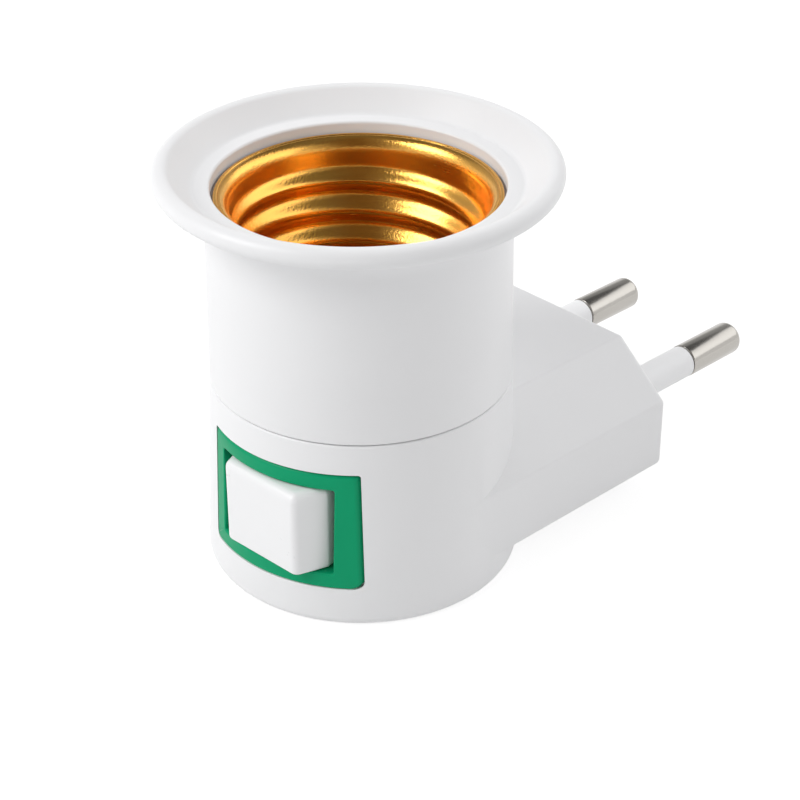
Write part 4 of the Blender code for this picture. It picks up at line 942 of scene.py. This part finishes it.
def make_rocker():
    outer = mirrored([(5.2, -7.4, 0.9), (6.6, -3.8, 0.6), (6.4, -2.5, 0.5), (2.2, 1.8, 0.4)])
    inner = mirrored([(4.33, -6.2, 0.2), (5.65, -3.75, 0.3), (5.3, -2.5, 0.3), (5.3, 2.1, 0.2)])
    tall, edge, top_edge = 4.98 * MM, 0.4 * MM, 0.95 * MM
    body = moulded(outer, -tall, tall, edge, top_edge, steps=8, corner_steps=8)
    deep = 3.8 * MM
    hollow = moulded(inner, -deep, deep, 0.2 * MM, steps=2, corner_steps=3)
    post = along_y(rod(2.2 * MM, -6.1 * MM, 3.2 * MM, 40))
    post_bore = along_y(rod(1.5 * MM, -4.5 * MM, 3.5 * MM, 40))
    steps = [("DIFFERENCE", hollow), ("UNION", post), ("DIFFERENCE", post_bore)]
    for side in (-1, 1):
        ends = sorted((side * 4.25 * MM, side * 5.75 * MM))
        steps.append(("UNION", rod(1.2 * MM, *ends, 40)))
    return rocker_spot(carve(body, *steps))


rocker_mesh = make_rocker()
rocker_place = ("rocker_unit", "rocker_white", "rocker")
add_piece("switch_rocker", rocker_mesh, rocker_white, *rocker_place, weighted=True)

# %% [markdown]
# ## Pins and their sleeves
# Each pin is turned: a full tip 4 mm thick with a rounded nose, and a thinner shank behind
# it in a white sleeve. The sleeve is a touch thinner than the tip, and a fine dark line
# parts them.


# %% Pins and sleeves
def make_pin():
    profile = [
        (0, 54.4, 0),
        (2.0, 54.4, 0.9),
        (2.0, 45.3, 0.12),
        (1.2, 45.3, 0),
        (1.2, 28.7, 0),
        (2.0, 28.7, 0.1),
        (2.0, 27.6, 0.1),
        (1.2, 27.6, 0),
        (1.2, 24.3, 0),
        (1.9, 24.3, 0),
        (1.9, 23.9, 0.2),
        (1.1, 23.5, 0.2),
        (0, 23.5, 0),
    ]
    return turned(rounded(in_mm(profile), closed=False), 72)


def make_sleeve():
    profile = [
        (1.4, 45.18, 0),
        (1.94, 45.18, 0.1),
        (1.94, 29.7, 0),
        (2.6, 29.7, 0.1),
        (2.6, 29.0, 0.1),
        (1.4, 29.0, 0),
    ]
    return turned(rounded(in_mm(profile)), 72)


for side, x in (("left", -PIN_X), ("right", PIN_X)):
    for kind, node, make, surface, slot in (
        ("pin", "pin", make_pin, pin_nickel, "pin_nickel"),
        ("sleeve", "pin_sleeve", make_sleeve, sleeve_white, "sleeve_white"),
    ):
        mesh = moved(along_y(make()), x, 0, PIN_Z)
        add_piece(f"plug_{kind}_{side}", mesh, surface, "holder", slot, f"{node}_{side}", sharp=40)

# %% [markdown]
# ## Base cover
# The flat cover closes the underside. Its outline is the cup's circle run into the block's
# tongue, its edge is softened, and each screw sits in a round recess.


# %% Base cover
def make_cover():
    corner = math.asin(COVER_HALF_WIDTH / COVER_RADIUS)
    start, end = math.pi / 2 + corner, 5 * math.pi / 2 - corner
    arc_steps, tongue_end, rounding = 96, 30 * MM, 0.6 * MM
    outline = []
    for step in range(arc_steps + 1):
        angle = start + (end - start) * step / arc_steps
        outline.append((COVER_RADIUS * math.cos(angle), COVER_RADIUS * math.sin(angle), 0))
    for x in (COVER_HALF_WIDTH, -COVER_HALF_WIDTH):
        outline.append((x, tongue_end, rounding))
    cover = moulded(outline, 0, COVER_THICKNESS, 0.15 * MM, steps=3)
    shank = [(0, 3), (1.3, 3), (1.3, 1.4)]
    head = [(2.5, 1.4), (2.5, 0.15), (2.65, 0), (2.65, -0.5), (0, -0.5)]
    steps = []
    for x, y in in_mm(SCREW_PLACES):
        steps.append(("DIFFERENCE", moved(turned(in_mm(shank + head), 48), x, y)))
    return carve(cover, *steps)


cover_mesh = make_cover()
cover_place = ("holder", "housing_white", "base_cover")
add_piece("foot_cover", cover_mesh, housing_white, *cover_place, weighted=True)

# %% [markdown]
# ## Cover screws
# Three equal screws are one pattern on three points, which is what instances are for. Each
# is turned by its own amount, from a fixed seed, as screws are when they have been driven.

# %% Cover screws
MOST_TURN = 0.6
SCREW_SEED = 7


def make_screw():
    profile = [
        (0, 9.5, 0),
        (0.55, 9.5, 0),
        (1.1, 8.5, 0),
        (1.1, 1.1, 0),
        (2.2, 1.1, 0.1),
        (2.2, 0.25, 0.35),
        (0, 0.25, 0),
    ]
    body = turned(rounded(in_mm(profile), closed=False), 48)
    slot = box((-2.5 * MM, -0.25 * MM, 0), (2.5 * MM, 0.25 * MM, 0.7 * MM))
    return carve(body, ("DIFFERENCE", slot))


def screw_tree():
    tree = bpy.data.node_groups.new("screws_on_points", "GeometryNodeTree")
    face = tree.interface
    face.new_socket("Geometry", in_out="OUTPUT", socket_type="NodeSocketGeometry")
    face.new_socket("Points", in_out="INPUT", socket_type="NodeSocketGeometry")
    face.new_socket("Screw", in_out="INPUT", socket_type="NodeSocketObject")
    face.new_socket("Seed", in_out="INPUT", socket_type="NodeSocketInt")
    face.new_socket("Finish", in_out="INPUT", socket_type="NodeSocketMaterial")
    graph = Graph(tree)
    given = tree.nodes.new("NodeGroupInput")

    def value(name):
        return Field(graph, given.outputs[name])

    source = {"Object": value("Screw")}
    screw = graph.node("GeometryNodeObjectInfo", {}, source, output="Geometry")
    limits = {2: -MOST_TURN, 3: MOST_TURN, "Seed": value("Seed")}
    spin = graph.node("FunctionNodeRandomValue", {"data_type": "FLOAT"}, limits, output=1)
    turn = graph.node("ShaderNodeCombineXYZ", {}, {2: spin})
    values = {"Points": value("Points"), "Instance": screw, "Rotation": turn}
    placed = graph.node("GeometryNodeInstanceOnPoints", {}, values)
    return finish_tree(graph, placed, value("Finish"))


pattern = bpy.data.objects.new("screw_pattern", make_screw())
places = bpy.data.meshes.new("screw_places")
places.from_pydata([(x, y, 0) for x, y in in_mm(SCREW_PLACES)], [], [])
values = {"Screw": pattern, "Seed": SCREW_SEED, "Finish": screw_steel}
screws_mesh = bake("screws", places, screw_tree(), values)
bpy.data.objects.remove(pattern)
screw_nodes = [f"cover_screw_{number}" for number in (1, 2, 3)]
add_piece("cover_screws", screws_mesh, screw_steel, "holder", "screw_steel", *screw_nodes)

# %% [markdown]
# ## CAD bodies that stay
# The inner pieces have the right shape already. Each keeps its mesh, and its slots get the
# finish of what it is made of.

# %% Finishes of the inner pieces
kept_finishes = {
    "contact_base": insulator_cream,
    "plunger": insulator_cream,
    "centre_contact": contact_brass,
    "centre_rivet": contact_brass,
    "shell_rivet_live": contact_brass,
    "shell_rivet_plain": contact_brass,
    "centre_strap": contact_brass,
    "shell_strap": contact_brass,
    "pin_lug_left": contact_brass,
    "pin_lug_right": contact_brass,
    "seesaw_contact": contact_brass,
    "middle_terminal": contact_brass,
    "side_terminal": contact_brass,
    "moving_button": button_silver,
    "fixed_button": button_silver,
    "plunger_spring": screw_steel,
    "wire_pin_to_switch": wire_brown,
    "wire_switch_to_centre": wire_brown,
    "wire_pin_to_shell": wire_blue,
}
for name, surface in kept_finishes.items():
    for holder_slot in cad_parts[name].material_slots:
        holder_slot.material = surface
print("kept nodes:", len(kept_finishes))
